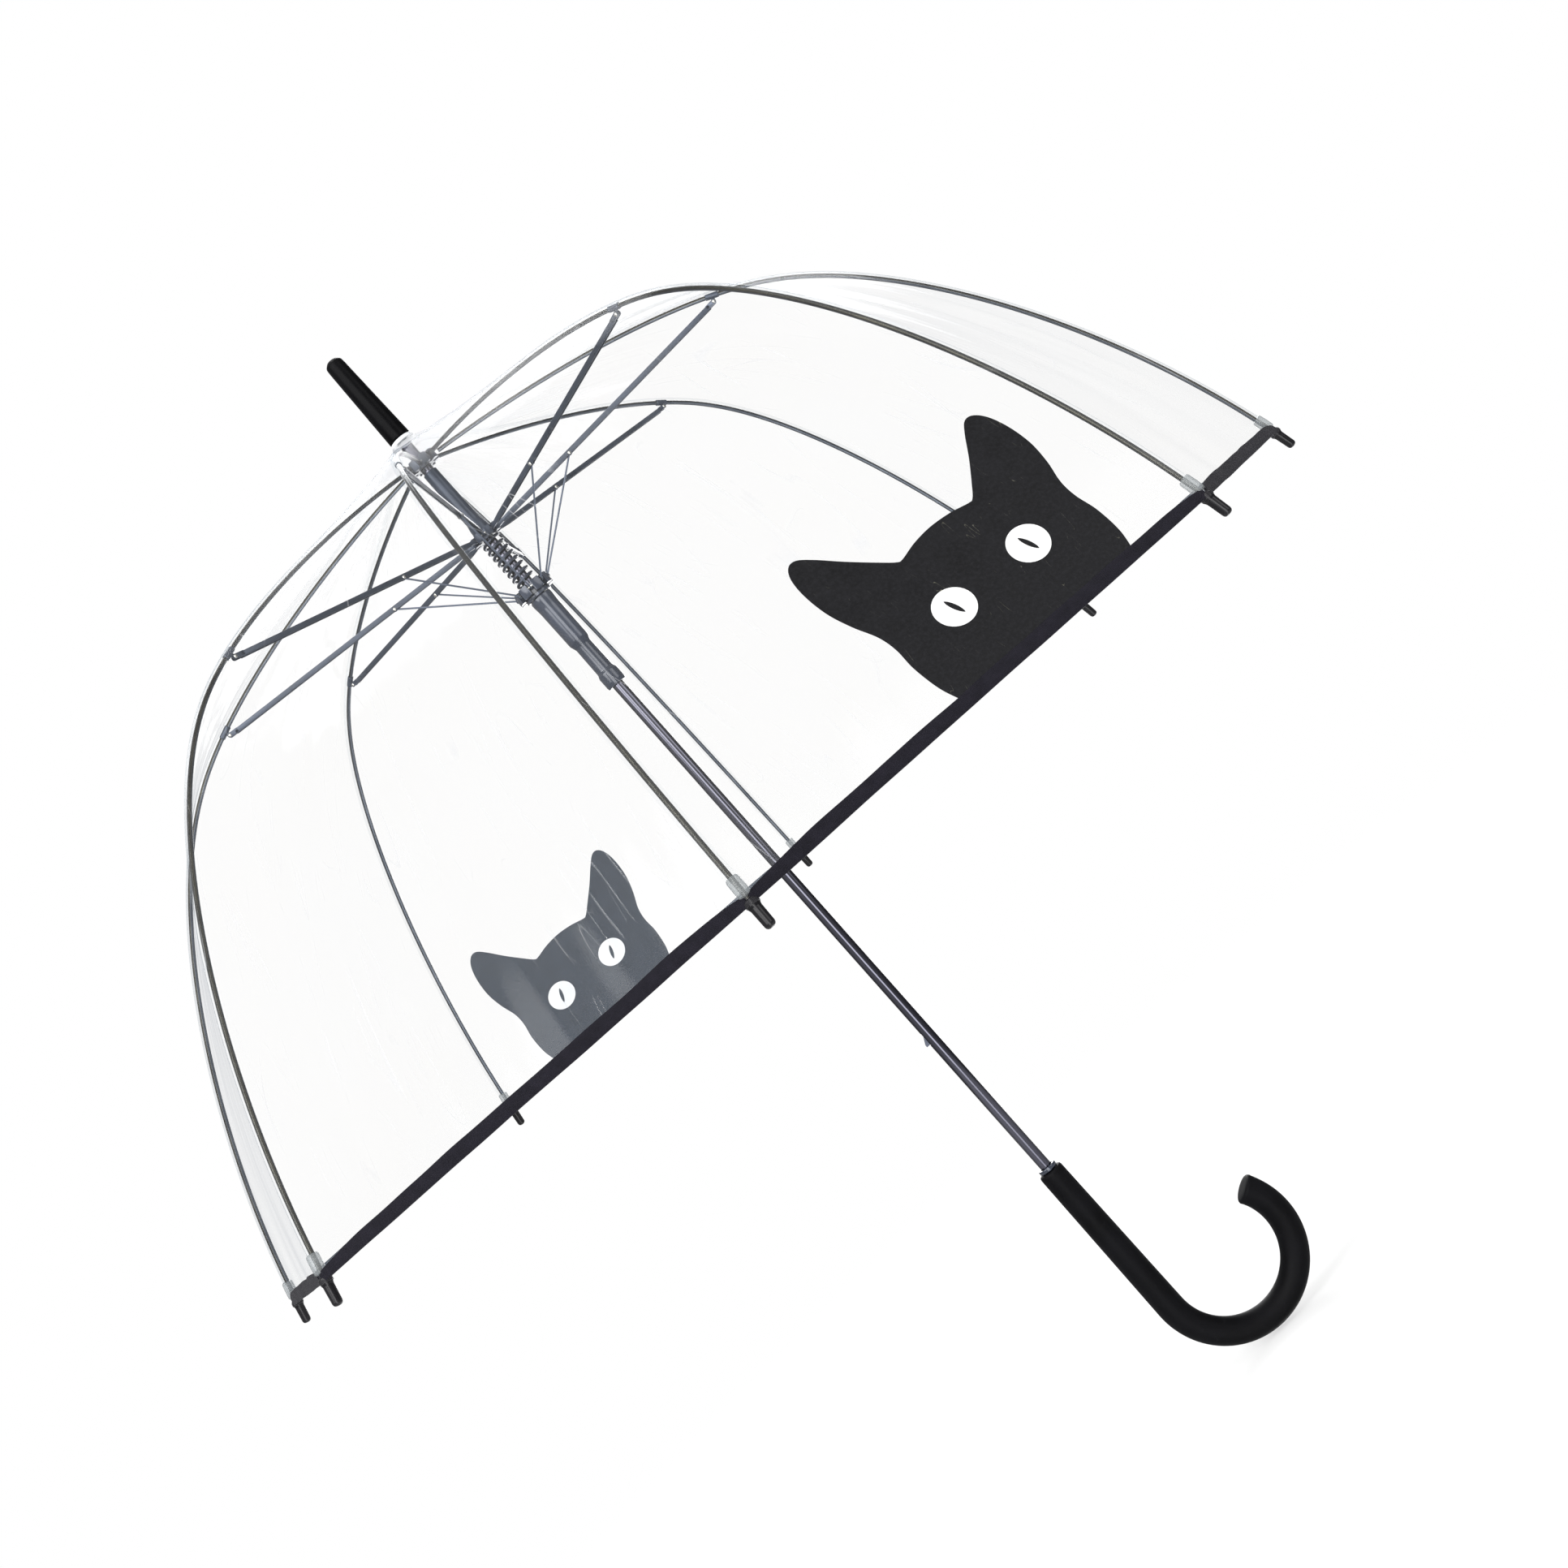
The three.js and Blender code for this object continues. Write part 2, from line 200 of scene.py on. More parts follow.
def swept_faces(rings, wide):
    """The faces of a solid made of rings of vertices, with a face over each end."""
    ends = [list(range(wide)), list(range((rings - 1) * wide, rings * wide))]
    return grid_faces(rings, wide, wraps=True) + ends


def lathe(profile, segments=48):
    """A surface turned about the Z axis: a solid if its profile closes, or starts and ends on the axis."""
    vertices, faces, rows = [], [], []
    closes = np.allclose(profile[0], profile[-1]) and profile[0][0] > 1e-6
    if closes:
        profile = profile[:-1]
    for radius, height in profile:
        if radius < 1e-6:
            rows.append([len(vertices)] * segments)
            vertices.append((0, 0, height))
            continue
        rows.append(list(range(len(vertices), len(vertices) + segments)))
        for i in range(segments):
            vertices.append((*polar(radius, 2 * math.pi * i / segments), height))
    pairs = list(zip(rows, rows[1:]))
    if closes:
        pairs.append((rows[-1], rows[0]))
    for low, high in pairs:
        for i in range(segments):
            k = (i + 1) % segments
            face = list(dict.fromkeys([low[i], low[k], high[k], high[i]]))
            if len(face) > 2:
                faces.append(face)
    return vertices, faces


def tube(points, radii, sides=12, closed=False):
    """A round rod along 3-D points, with its own radius at each."""
    points = [Vector(p) for p in points]
    count = len(points)
    radii = [radii] * count if np.isscalar(radii) else radii
    vertices = []
    side = None
    for i, p in enumerate(points):
        if closed:
            along = (points[(i + 1) % count] - points[i - 1]).normalized()
        else:
            along = (points[min(i + 1, count - 1)] - points[max(i - 1, 0)]).normalized()
        if side is None:
            side = along.orthogonal().normalized()
            if abs(along.y) < 0.9:
                side = Vector((0, 1, 0))
        side = (side - along * side.dot(along)).normalized()
        other = along.cross(side)
        for k in range(sides):
            angle = 2 * math.pi * k / sides
            vertices.append(p + (side * math.cos(angle) + other * math.sin(angle)) * radii[i])
    if closed:
        return vertices, grid_faces(count, sides, wraps=True, closes=True)
    return vertices, swept_faces(count, sides)


def station_tube(stations, place, sides):
    """A rod given as (distance, radius) stations. place(distance) gives its points."""
    return tube([place(d) for d, _ in stations], [r for _, r in stations], sides)


def torus(centre, axis, ring_radius, wire_radius, segments=32, sides=8):
    """A wire ring about an axis."""
    axis = Vector(axis).normalized()
    first = axis.orthogonal().normalized()
    second = axis.cross(first)
    angles = [2 * math.pi * i / segments for i in range(segments)]
    line = [Vector(centre) + (first * math.cos(a) + second * math.sin(a)) * ring_radius for a in angles]
    return tube(line, wire_radius, sides, closed=True)


def plate(outline, thickness):
    """A flat plate in the rib plane, with its outline as (radius, height) and centred on the plane."""
    vertices = [(x, y, z) for y in (-thickness / 2, thickness / 2) for x, z in outline]
    return vertices, swept_faces(2, len(outline))


def prism(outline, stations):
    """A closed (y, z) outline swept along x. Each station is (x, y scale, z scale)."""
    vertices = [(x, y * wide, z * tall) for x, wide, tall in stations for y, z in outline]
    return vertices, swept_faces(len(stations), len(outline))


def slotted_ring(bore, outer, bottom, top, floor_radius, slot_width, arc_steps=9):
    """A ring with a slot open to the outside at each rib."""
    outline = []
    half_slot = slot_width / 2
    for azimuth in RIB_AZIMUTHS:
        start = azimuth + math.asin(half_slot / outer)
        end = azimuth + 2 * HALF_GORE - math.asin(half_slot / outer)
        sector = []
        for offset in (-half_slot, 0, half_slot):
            sector.append((
                floor_radius * math.cos(azimuth) - offset * math.sin(azimuth),
                floor_radius * math.sin(azimuth) + offset * math.cos(azimuth),
            ))
        for i in range(arc_steps):
            sector.append(polar(outer, start + (end - start) * i / (arc_steps - 1)))
        outline += sector
    inner = [polar(bore, math.atan2(y, x)) for x, y in outline]
    count = len(outline)
    vertices = [(x, y, z) for z in (bottom, top) for x, y in outline + inner]
    faces = []
    for i in range(count):
        k = (i + 1) % count
        faces.append([i, k, count + k, count + i])
        faces.append([2 * count + k, 2 * count + i, 3 * count + i, 3 * count + k])
        faces.append([k, i, 2 * count + i, 2 * count + k])
        faces.append([count + i, count + k, 3 * count + k, 3 * count + i])
    return vertices, faces


def moved(part, place):
    """The part with every vertex moved by the function place."""
    vertices, faces = part
    return [place(Vector(v)) for v in vertices], faces


def joined(*parts):
    vertices, faces = [], []
    for part_vertices, part_faces in parts:
        base = len(vertices)
        vertices += list(part_vertices)
        faces += [[base + i for i in face] for face in part_faces]
    return vertices, faces


def turned_to(azimuth):
    c, s = math.cos(azimuth), math.sin(azimuth)
    return lambda v: Vector((v[0] * c - v[1] * s, v[0] * s + v[1] * c, v[2]))


def is_crease(edge, degrees):
    """Whether the surface bends by more than this at the edge."""
    return len(edge.link_faces) == 2 and edge.calc_face_angle(0) > math.radians(degrees)


def linked(name, data):
    """A new object in the scene."""
    thing = bpy.data.objects.new(name, data)
    bpy.context.scene.collection.objects.link(thing)
    return thing


def piece(name, part, look, body=None, replaces=(), azimuth=0.0, solid=True, bevel=0.0, crease=CREASE):
    """Makes the Blender object of a mesh part, turned about the shaft to its azimuth.

    It rides its body and takes the place of the CAD nodes it replaces. Edges sharper than crease stay hard.
    """
    vertices, faces = moved(part, turned_to(azimuth))
    mesh = bpy.data.meshes.new(name)
    mesh.from_pydata([v * METRE for v in vertices], [], faces)
    made = bmesh.new()
    made.from_mesh(mesh)
    if solid:
        bmesh.ops.recalc_face_normals(made, faces=made.faces)
    if bevel:
        sharp = [edge for edge in made.edges if is_crease(edge, CREASE)]
        bmesh.ops.bevel(made, geom=sharp, offset=bevel * METRE, segments=2, profile=0.6,
                        affect="EDGES", clamp_overlap=True)
    for edge in made.edges:
        edge.smooth = not is_crease(edge, crease)
    for face in made.faces:
        face.smooth = True
    made.to_mesh(mesh)
    made.free()
    mesh.materials.append(look)
    thing = linked(name, mesh)
    if body:
        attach(thing, body)
    if replaces:
        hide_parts(*replaces)
    return thing


def sheet_piece(name, part, look):
    return piece(name, part, look, solid=False, crease=180.0)


BOX_FACES = [[0, 1, 3, 2], [4, 6, 7, 5], [0, 4, 5, 1], [2, 3, 7, 6], [0, 2, 6, 4], [1, 5, 7, 3]]


def cut_box(thing, low, high):
    """Cuts a box-shaped opening, given by its two corners, through a finished solid."""
    corners = [Vector(corner) * METRE for corner in itertools.product(*zip(low, high))]
    cutter_mesh = bpy.data.meshes.new("cutter")
    cutter_mesh.from_pydata(corners, [], BOX_FACES)
    cutter = linked("cutter", cutter_mesh)
    opening = thing.modifiers.new("opening", "BOOLEAN")
    opening.operation = "DIFFERENCE"
    opening.solver = "EXACT"
    opening.object = cutter
    whole = thing.data
    evaluated = thing.evaluated_get(bpy.context.evaluated_depsgraph_get())
    thing.data = bpy.data.meshes.new_from_object(evaluated)
    thing.modifiers.clear()
    name = whole.name
    bpy.data.objects.remove(cutter)
    bpy.data.meshes.remove(cutter_mesh)
    bpy.data.meshes.remove(whole)
    thing.data.name = name
    made = bmesh.new()
    made.from_mesh(thing.data)
    for edge in made.edges:
        edge.smooth = not is_crease(edge, CREASE)
    made.to_mesh(thing.data)
    made.free()


def set_uv(thing, coordinates):
    """Gives each vertex of a sheet its (along the hem, along the profile) place in centimetres."""
    layer = thing.data.uv_layers.new(name="place")
    values = np.array([coordinates[loop.vertex_index] for loop in thing.data.loops], np.float32) / 10
    layer.data.foreach_set("uv", values.ravel())


# -------- materials

class Nodes:
    """The node tree of a material or a world, built one node at a time."""

    def __init__(self, owner):
        owner.use_nodes = True
        self.tree = owner.node_tree
        self.tree.nodes.clear()

    def fill(self, socket, value):
        """Links a socket, or gives it a value. A colour is given as (red, green, blue)."""
        if isinstance(value, bpy.types.NodeSocket):
            self.tree.links.new(value, socket)
        else:
            socket.default_value = (*value, 1.0) if socket.type == "RGBA" else value

    def node(self, kind, inputs=None, **settings):
        made = self.tree.nodes.new(kind)
        for key, value in settings.items():
            setattr(made, key, value)
        for key, value in (inputs or {}).items():
            self.fill(made.inputs[key], value)
        return made

    def fit(self, value, low, high, to_low=0.0, to_high=1.0, kind="LINEAR"):
        return self.node("ShaderNodeMapRange", {
            "Value": value, "From Min": low, "From Max": high, "To Min": to_low, "To Max": to_high,
        }, interpolation_type=kind).outputs["Result"]

    def math(self, operation, a, b=0.0):
        return self.node("ShaderNodeMath", {0: a, 1: b}, operation=operation).outputs[0]

    def shader(self, kind, inputs=None):
        return self.node(f"ShaderNodeBsdf{kind}", inputs).outputs[0]

    def times(self, a, b):
        return self.math("MULTIPLY", a, b)

    def plus(self, a, b):
        return self.math("ADD", a, b)

    def larger(self, a, b):
        return self.math("MAXIMUM", a, b)

    def vector(self, operation, a, b=(0.0, 0.0, 0.0)):
        outputs = self.node("ShaderNodeVectorMath", {0: a, 1: b}, operation=operation).outputs
        return outputs["Value" if operation in ("DOT_PRODUCT", "LENGTH") else "Vector"]


class Look(Nodes):
    """A material and the nodes that its looks are made of."""

    def __init__(self, name):
        self.material = bpy.data.materials.new(name)
        super().__init__(self.material)

    def place(self):
        return self.node("ShaderNodeTexCoord").outputs["Object"]

    def sheet_place(self):
        return self.node("ShaderNodeUVMap", uv_map="place").outputs["UV"]

    def facing(self):
        """0 where the surface is seen face on, 1 at a glancing angle."""
        return self.node("ShaderNodeLayerWeight", {"Blend": 0.5}).outputs["Facing"]

    def surface(self, output):
        return self.node("ShaderNodeNewGeometry").outputs[output]

    def noise(self, vector, scale, detail=3.0, roughness=0.55):
        inputs = {"Vector": vector, "Scale": scale, "Detail": detail, "Roughness": roughness}
        return self.node("ShaderNodeTexNoise", inputs).outputs["Fac"]

    def line(self, vector, scale, level, detail=1.0, roughness=0.4):
        """The distance of a noise from one level: near 0 along thin winding lines."""
        field = self.noise(vector, scale, detail, roughness)
        return self.math("ABSOLUTE", self.math("SUBTRACT", field, level))

    def stretch(self, vector, x, y, z):
        return self.node("ShaderNodeMapping", {"Vector": vector, "Scale": (x, y, z)}).outputs["Vector"]

    def mix(self, share, a, b):
        made = self.node("ShaderNodeMix", data_type="RGBA")
        for index, value in ((0, share), (6, a), (7, b)):
            self.fill(made.inputs[index], value)
        return made.outputs[2]

    def blend(self, share, a, b):
        return self.node("ShaderNodeMixShader", {0: share, 1: a, 2: b}).outputs[0]

    def bump(self, height, distance, strength=1.0, under=None):
        inputs = {"Height": height, "Distance": distance, "Strength": strength}
        if under is not None:
            inputs["Normal"] = under
        return self.node("ShaderNodeBump", inputs).outputs["Normal"]

    def done(self, shader):
        self.node("ShaderNodeOutputMaterial", {"Surface": shader})
        return self.material


DOME_MIDDLE = (0.0, 0.0, -0.45)


def brighter(tint, times, plus=0.0, most=1.0):
    return tuple(min(most, c * times + plus) for c in tint)


def solid_look(name, dark, light, metallic, roughness, grain, grain_depth,
               streak=None, edge_light=0.0, coat=0.0, specular=0.5, painted_rim_shade=0.0, painted_inner_reflection=None):
    """Painted, plated or moulded surfaces: mottled colour, fine grain, scuffs and worn edges."""
    look = Look(name)
    place = look.place()
    if streak:
        place = look.stretch(place, *streak)
    cloud = look.noise(place, 38.0, 4.0)
    mottle = look.fit(cloud, 0.32, 0.68)
    fine = look.noise(place, grain, 2.0, 0.6)
    tint = look.mix(mottle, dark, light)
    scuffs = look.fit(look.noise(place, 140.0, 6.0, 0.7), 0.6, 0.75)
    tint = look.mix(look.times(scuffs, 0.22), tint, brighter(light, 2.2, 0.015))
    if edge_light:
        worn = look.fit(look.surface("Pointiness"), 0.53, 0.62, 0.0, edge_light)
        tint = look.mix(worn, tint, brighter(light, 3, 0.04))
    if painted_inner_reflection:
        # Painted reflection: the side that faces the middle of the dome is painted in a paler, bluer tint,
        # standing in for the film's reflection over parts seen through it.
        away = look.vector("SUBTRACT", look.surface("Position"), DOME_MIDDLE)
        faces_out = look.vector("DOT_PRODUCT", look.surface("Normal"), look.vector("NORMALIZE", away))
        inner_reflection_tint = look.mix(mottle, painted_inner_reflection[0], painted_inner_reflection[1])
        tint = look.mix(look.fit(faces_out, -0.45, 0.0), inner_reflection_tint, tint)
    # Painted shade: the colour darkens towards near black where the surface is seen at a glancing angle.
    if painted_rim_shade:
        rim = look.fit(look.facing(), 0.15, 0.65, 0.0, painted_rim_shade)
        tint = look.mix(rim, tint, (0.002, 0.002, 0.003))
    shine = look.fit(look.plus(cloud, look.times(scuffs, 0.5)), 0.3, 0.9, *roughness)
    normal = look.bump(fine, grain_depth, 0.7, look.bump(cloud, grain_depth * 3, 0.5))
    shader = look.shader("Principled", {
        "Base Color": tint, "Metallic": metallic, "Roughness": shine, "Normal": normal,
        "Coat Weight": coat, "Coat Roughness": 0.2, "Specular IOR Level": specular,
    })
    return look.done(shader)


def film_look():
    """Clear PVC film: nearly invisible face on, greyer at a glancing angle, with faint bumped creases in
    painted shade and painted white highlight, and painted glare.
    """
    look = Look("clear_film")
    place = look.sheet_place()
    ridge = look.line(look.stretch(place, 0.34, 0.03, 1.0), 1.0, 0.5)
    crease = look.fit(ridge, 0.0, 0.006, 1.0, 0.0)
    slanted = look.node("ShaderNodeMapping", {
        "Vector": place, "Rotation": (0.0, 0.0, 0.75), "Scale": (0.16, 0.03, 1.0),
    }).outputs["Vector"]
    cross = look.line(slanted, 1.3, 0.47)
    crease = look.larger(crease, look.fit(cross, 0.0, 0.003, 0.8, 0.0))
    crease = look.times(crease, look.fit(look.noise(place, 0.16, 2.0), 0.5, 0.66))
    cloud = look.fit(look.noise(place, 0.09, 2.0), 0.3, 0.75)
    ripple = look.noise(look.stretch(place, 0.30, 0.06, 1.0), 1.0, 1.0)
    normal = look.bump(ripple, 0.003, 0.5, look.bump(crease, 0.0005, 0.6))
    facing = look.facing()
    steep = look.math("POWER", facing, 7.0)
    gate = look.mix(steep, (0.994, 0.994, 0.993), (0.972, 0.974, 0.978))
    gate = look.mix(look.times(cloud, 0.35), gate, (0.985, 0.978, 0.966))
    # Painted shade: the film is painted darker along its creases, standing in for light bent away at the
    # folds.
    gate = look.mix(look.times(crease, 0.40), gate, (0.74, 0.76, 0.79))
    gate = look.mix(look.math("POWER", facing, 18.0), gate, (0.66, 0.68, 0.71))
    clear = look.shader("Transparent", {"Color": gate})
    shine = look.shader("Glossy", {
        "Color": (0.95, 0.96, 0.97), "Roughness": look.fit(cloud, 0.0, 1.0, 0.06, 0.14),
        "Normal": normal,
    })
    mirror = look.plus(look.times(steep, 0.06), 0.018)
    white = {"Color": (0.93, 0.94, 0.96)}
    milk = look.blend(0.5, look.shader("Diffuse", white), look.shader("Translucent", white))
    haze_and_glare = look.plus(look.times(cloud, 0.014), 0.018)
    # Painted highlight: the creases are also painted milky white, standing in for their glints.
    haze_and_glare = look.plus(haze_and_glare, look.times(crease, 0.30))
    # The milky patch under the ferrule.
    run = look.node("ShaderNodeSeparateXYZ", {0: place}).outputs["Y"]
    patch = look.fit(look.plus(run, look.times(cloud, 0.25)), 2.0, 2.8, 0.85, 0.0)
    haze_and_glare = look.larger(haze_and_glare, patch)
    # Painted glare: white streaks run outwards from the ferrule, strongest where the film is seen at a
    # glancing angle, standing in for light the film reflects there.
    streak = look.fit(look.noise(look.stretch(place, 0.8, 0.05, 1.0), 1.0, 3.0), 0.36, 0.58)
    painted_glare = look.times(streak, look.fit(run, 4.0, 19.0, 1.0, 0.0))
    painted_glare = look.times(painted_glare, look.fit(facing, 0.30, 0.85, 0.12, 0.80))
    haze_and_glare = look.larger(haze_and_glare, painted_glare)
    return look.done(look.blend(haze_and_glare, look.blend(mirror, clear, shine), milk))


def milky_look(name, share, tint, roughness, grain, rim):
    """Thicker clear plastic: some light passes, some is scattered white."""
    look = Look(name)
    cloud = look.noise(look.place(), grain, 3.0)
    steep = look.math("POWER", look.facing(), 2.5)
    gate = look.mix(steep, (0.95, 0.96, 0.965), (rim, rim + 0.02, rim + 0.04))
    clear = look.shader("Transparent", {"Color": gate})
    body = look.shader("Principled", {
        "Base Color": look.mix(look.fit(cloud, 0.3, 0.7), brighter(tint, 0.86), tint),
        "Roughness": look.fit(cloud, 0.2, 0.8, roughness * 0.7, roughness * 1.5),
        "Normal": look.bump(cloud, 0.0002, 0.6), "Coat Weight": 0.4,
    })
    return look.done(look.blend(look.fit(cloud, 0.2, 0.8, share * 0.8, share * 1.2), clear, body))


def tape_look(name, dark, light):
    """Narrow woven hem tape: a fine plain weave, mottled and a little fuzzy."""
    look = Look(name)
    place = look.sheet_place()
    threads = {"Vector": place, "Scale": 5.2, "Distortion": 0.6, "Detail": 1.0}
    weave = look.times(*[
        look.node("ShaderNodeTexWave", threads, bands_direction=way).outputs["Fac"] for way in "XY"
    ])
    cloud = look.noise(place, 1.3, 4.0)
    fuzz = look.noise(place, 24.0, 3.0, 0.7)
    tint = look.mix(look.fit(cloud, 0.35, 0.7), dark, light)
    tint = look.mix(look.times(weave, 0.45), tint, brighter(light, 2.4, 0.004))
    normal = look.bump(weave, 0.00016, 0.8, look.bump(fuzz, 0.0001, 0.5))
    shader = look.shader("Principled", {
        "Base Color": tint, "Roughness": look.fit(fuzz, 0.3, 0.7, 0.62, 0.85), "Normal": normal,
        "Sheen Weight": 0.06, "Sheen Roughness": 0.5, "Specular IOR Level": 0.16,
    })
    return look.done(shader)


def ink_look(name, front, front_light, back, roughness=0.5):
    """Printed ink, finely scratched: solid on the outside; its back, seen through the film, is painted paler,
    a painted reflection standing in for the film's veil over it.
    """
    look = Look(name)
    place = look.sheet_place()
    cloud = look.noise(place, 0.6, 5.0, 0.6)
    fine = look.noise(place, 30.0, 3.0, 0.7)
    hair = look.line(look.stretch(place, 1.4, 0.25, 1.0), 1.2, 0.52, roughness=0.55)
    scratch = look.times(look.fit(hair, 0.0, 0.0035, 1.0, 0.0), look.fit(cloud, 0.55, 0.66))
    speckle = look.fit(look.noise(place, 4.5, 5.0, 0.85), 0.44, 0.62)
    outside = look.mix(look.fit(cloud, 0.35, 0.7), front, front_light)
    outside = look.mix(look.times(speckle, 0.7), outside, brighter(front_light, 1.9, most=0.95))
    outside = look.mix(look.times(scratch, 0.75), outside, (0.35, 0.34, 0.26))
    # Painted reflection: the back is painted paler and bluer, standing in for the film's reflection over the
    # print seen through it.
    inside = look.mix(look.fit(cloud, 0.3, 0.75), back, brighter(back, 1.4, most=0.95))
    inside = look.mix(look.times(speckle, 0.6), inside, brighter(back, 1.9, most=0.95))
    shader = look.shader("Principled", {
        "Base Color": look.mix(look.surface("Backfacing"), outside, inside),
        "Roughness": look.fit(cloud, 0.3, 0.7, roughness * 0.8, roughness * 1.25),
        "Normal": look.bump(fine, 0.00004, 0.5, look.bump(cloud, 0.0006, 0.3)),
        "Specular IOR Level": 0.2,
    })
    return look.done(shader)


FILM = film_look()
SEAM = milky_look("film_weld", 0.035, (0.90, 0.92, 0.94), 0.12, 160.0, rim=0.80)
POCKET = milky_look("clear_pocket", 0.42, (0.42, 0.45, 0.46), 0.2, 220.0, rim=0.30)
WASHER = milky_look("milky_washer", 0.92, (0.90, 0.92, 0.94), 0.25, 120.0, rim=0.70)
# The rib steel's inward side is painted paler and bluer, a painted reflection, and its sides are painted
# darker at a glancing angle, a painted shade.
RIB = solid_look(
    "dark_rib_steel", (0.014, 0.013, 0.010), (0.045, 0.042, 0.029), 0.7, (0.18, 0.30), 900.0, 0.00002,
    coat=0.1, painted_rim_shade=0.75, painted_inner_reflection=((0.080, 0.096, 0.122), (0.160, 0.182, 0.220)),
)
SLATE = solid_look(
    "slate_frame_steel", (0.024, 0.032, 0.048), (0.050, 0.062, 0.088), 0.35, (0.26, 0.42), 700.0, 0.00003,
    edge_light=0.5,
)
# The runner plastic's sides are painted darker at a glancing angle, a painted shade.
SLEEVE = solid_look(
    "slate_runner_plastic", (0.020, 0.027, 0.044), (0.040, 0.051, 0.080), 0.1, (0.10, 0.18), 500.0, 0.00002,
    edge_light=0.4, coat=0.6, painted_rim_shade=0.35,
)
# The shaft's sides are painted darker at a glancing angle, a painted shade.
SHAFT = solid_look(
    "gunmetal_shaft", (0.085, 0.085, 0.110), (0.150, 0.150, 0.185), 0.95, (0.08, 0.14), 900.0, 0.00001,
    streak=(1.0, 1.0, 0.03), painted_rim_shade=0.85,
)
WIRE = solid_look(
    "bright_wire", (0.42, 0.42, 0.40), (0.72, 0.71, 0.66), 1.0, (0.18, 0.32), 900.0, 0.00001,
)
SPRING = solid_look(
    "spring_wire", (0.036, 0.042, 0.058), (0.080, 0.090, 0.120), 0.7, (0.24, 0.4), 900.0, 0.00001,
)
BLACK = solid_look(
    "black_plastic", (0.0014, 0.0014, 0.0018), (0.0034, 0.0034, 0.0042), 0.0, (0.34, 0.48), 650.0, 0.00004,
    edge_light=0.3, specular=0.07,
)
CAP = solid_look(
    "black_cap_plastic", (0.0040, 0.0038, 0.0050), (0.0100, 0.0095, 0.0120), 0.0, (0.22, 0.34), 650.0,
    0.00004, edge_light=0.4, specular=0.35,
)
GRIP = solid_look(
    "soft_black_grip", (0.0016, 0.0016, 0.0021), (0.0042, 0.0042, 0.0054), 0.0, (0.50, 0.66), 1500.0,
    0.00006, edge_light=0.2, specular=0.08,
)
TAPE = tape_look("hem_tape_black", (0.0036, 0.0032, 0.0062), (0.0085, 0.0076, 0.0130))
# The tape's inner side is painted pale slate, a painted reflection of the film's veil over it.
TAPE_INNER_PAINTED_REFLECTION = tape_look("hem_tape_inner_painted_reflection", (0.070, 0.084, 0.106), (0.105, 0.122, 0.150))
# The black print's back is painted pale slate, a painted reflection.
INK = ink_look("black_print", (0.0030, 0.0030, 0.0037), (0.0070, 0.0070, 0.0083), (0.032, 0.041, 0.056))
EYE_INK = ink_look("white_print", (0.84, 0.84, 0.83), (0.93, 0.93, 0.92), (0.80, 0.84, 0.88), 0.45)


# The record's material slot of each look.
SLOTS = {look: slot for slot, looks in {
    "clear_film": (FILM, SEAM, POCKET),
    "clear_washer": (WASHER,),
    "rib_steel": (RIB,),
    "frame_steel": (SLATE, SLEEVE),
    "shaft_steel": (SHAFT,),
    "spring_steel": (WIRE, SPRING),
    "black_plastic": (BLACK, CAP, TAPE, INK, EYE_INK),
    "soft_handle": (GRIP,),
}.items() for look in looks}


# -------- canopy film

def film_profile():
    """The film's (radius, height) line in the rib plane, from under the ferrule to past the hem."""
    middle = beside(UPPER_CURVE, 0.5, FILM_STANDOFF)
    crown = np.array([FILM_TOP, [40.0, -86.0], [95.0, -97.5], middle])
    line = [bezier(crown, t) for t in np.linspace(0, 1, 33)]
    line += [beside(UPPER_CURVE, t, FILM_STANDOFF) for t in np.linspace(0.5, 1, 25)[1:]]
    flex_index = len(line) - 1
    line += [beside(LOWER_CURVE, t, FILM_STANDOFF) for t in np.linspace(0, HEM_AT, 61)[1:]]
    hem_index = len(line) - 1
    line.append(beside(LOWER_CURVE, HEM_AT + 0.02, FILM_STANDOFF))
    line = np.array(line)
    run = np.concatenate([[0], np.cumsum(np.linalg.norm(np.diff(line, axis=0), axis=1))])
    return line, run, run[flex_index], run[hem_index]


PROFILE, RUN, RUN_FLEX, RUN_HEM = film_profile()
RUN_COLLAR = float(np.interp(COLLAR_RADIUS, PROFILE[:, 0], RUN))
COS_HALF, SIN_HALF = math.cos(HALF_GORE), math.sin(HALF_GORE)


def gore_middle(n):
    """The azimuth halfway between the two ribs of a gore."""
    return RIB_AZIMUTHS[n - 1] + HALF_GORE


def profile_at(run):
    return np.array([np.interp(run, RUN, PROFILE[:, 0]), np.interp(run, RUN, PROFILE[:, 1])])


def wrinkle(run, across, gore):
    """Soft folds and hem waves of the stretched film, none at the ribs and the ferrule."""
    free = (1 - across**2) * min(1.0, run / 60)
    fold = noise.noise(Vector((across * 2.1, run / 150, gore * 7.3)))
    fine = noise.noise(Vector((across * 6.5, run / 70, gore * 3.1 + 40)))
    near_hem = math.exp(-((RUN_HEM - run) / 55) ** 2)
    edge_wave = noise.noise(Vector((across * 4.2, gore * 5.7 + 9, 0.3)))
    folds = free * (1.5 * fold + 0.45 * fine * (1 - near_hem))
    return folds + (1 - across**4) * near_hem * 1.6 * edge_wave


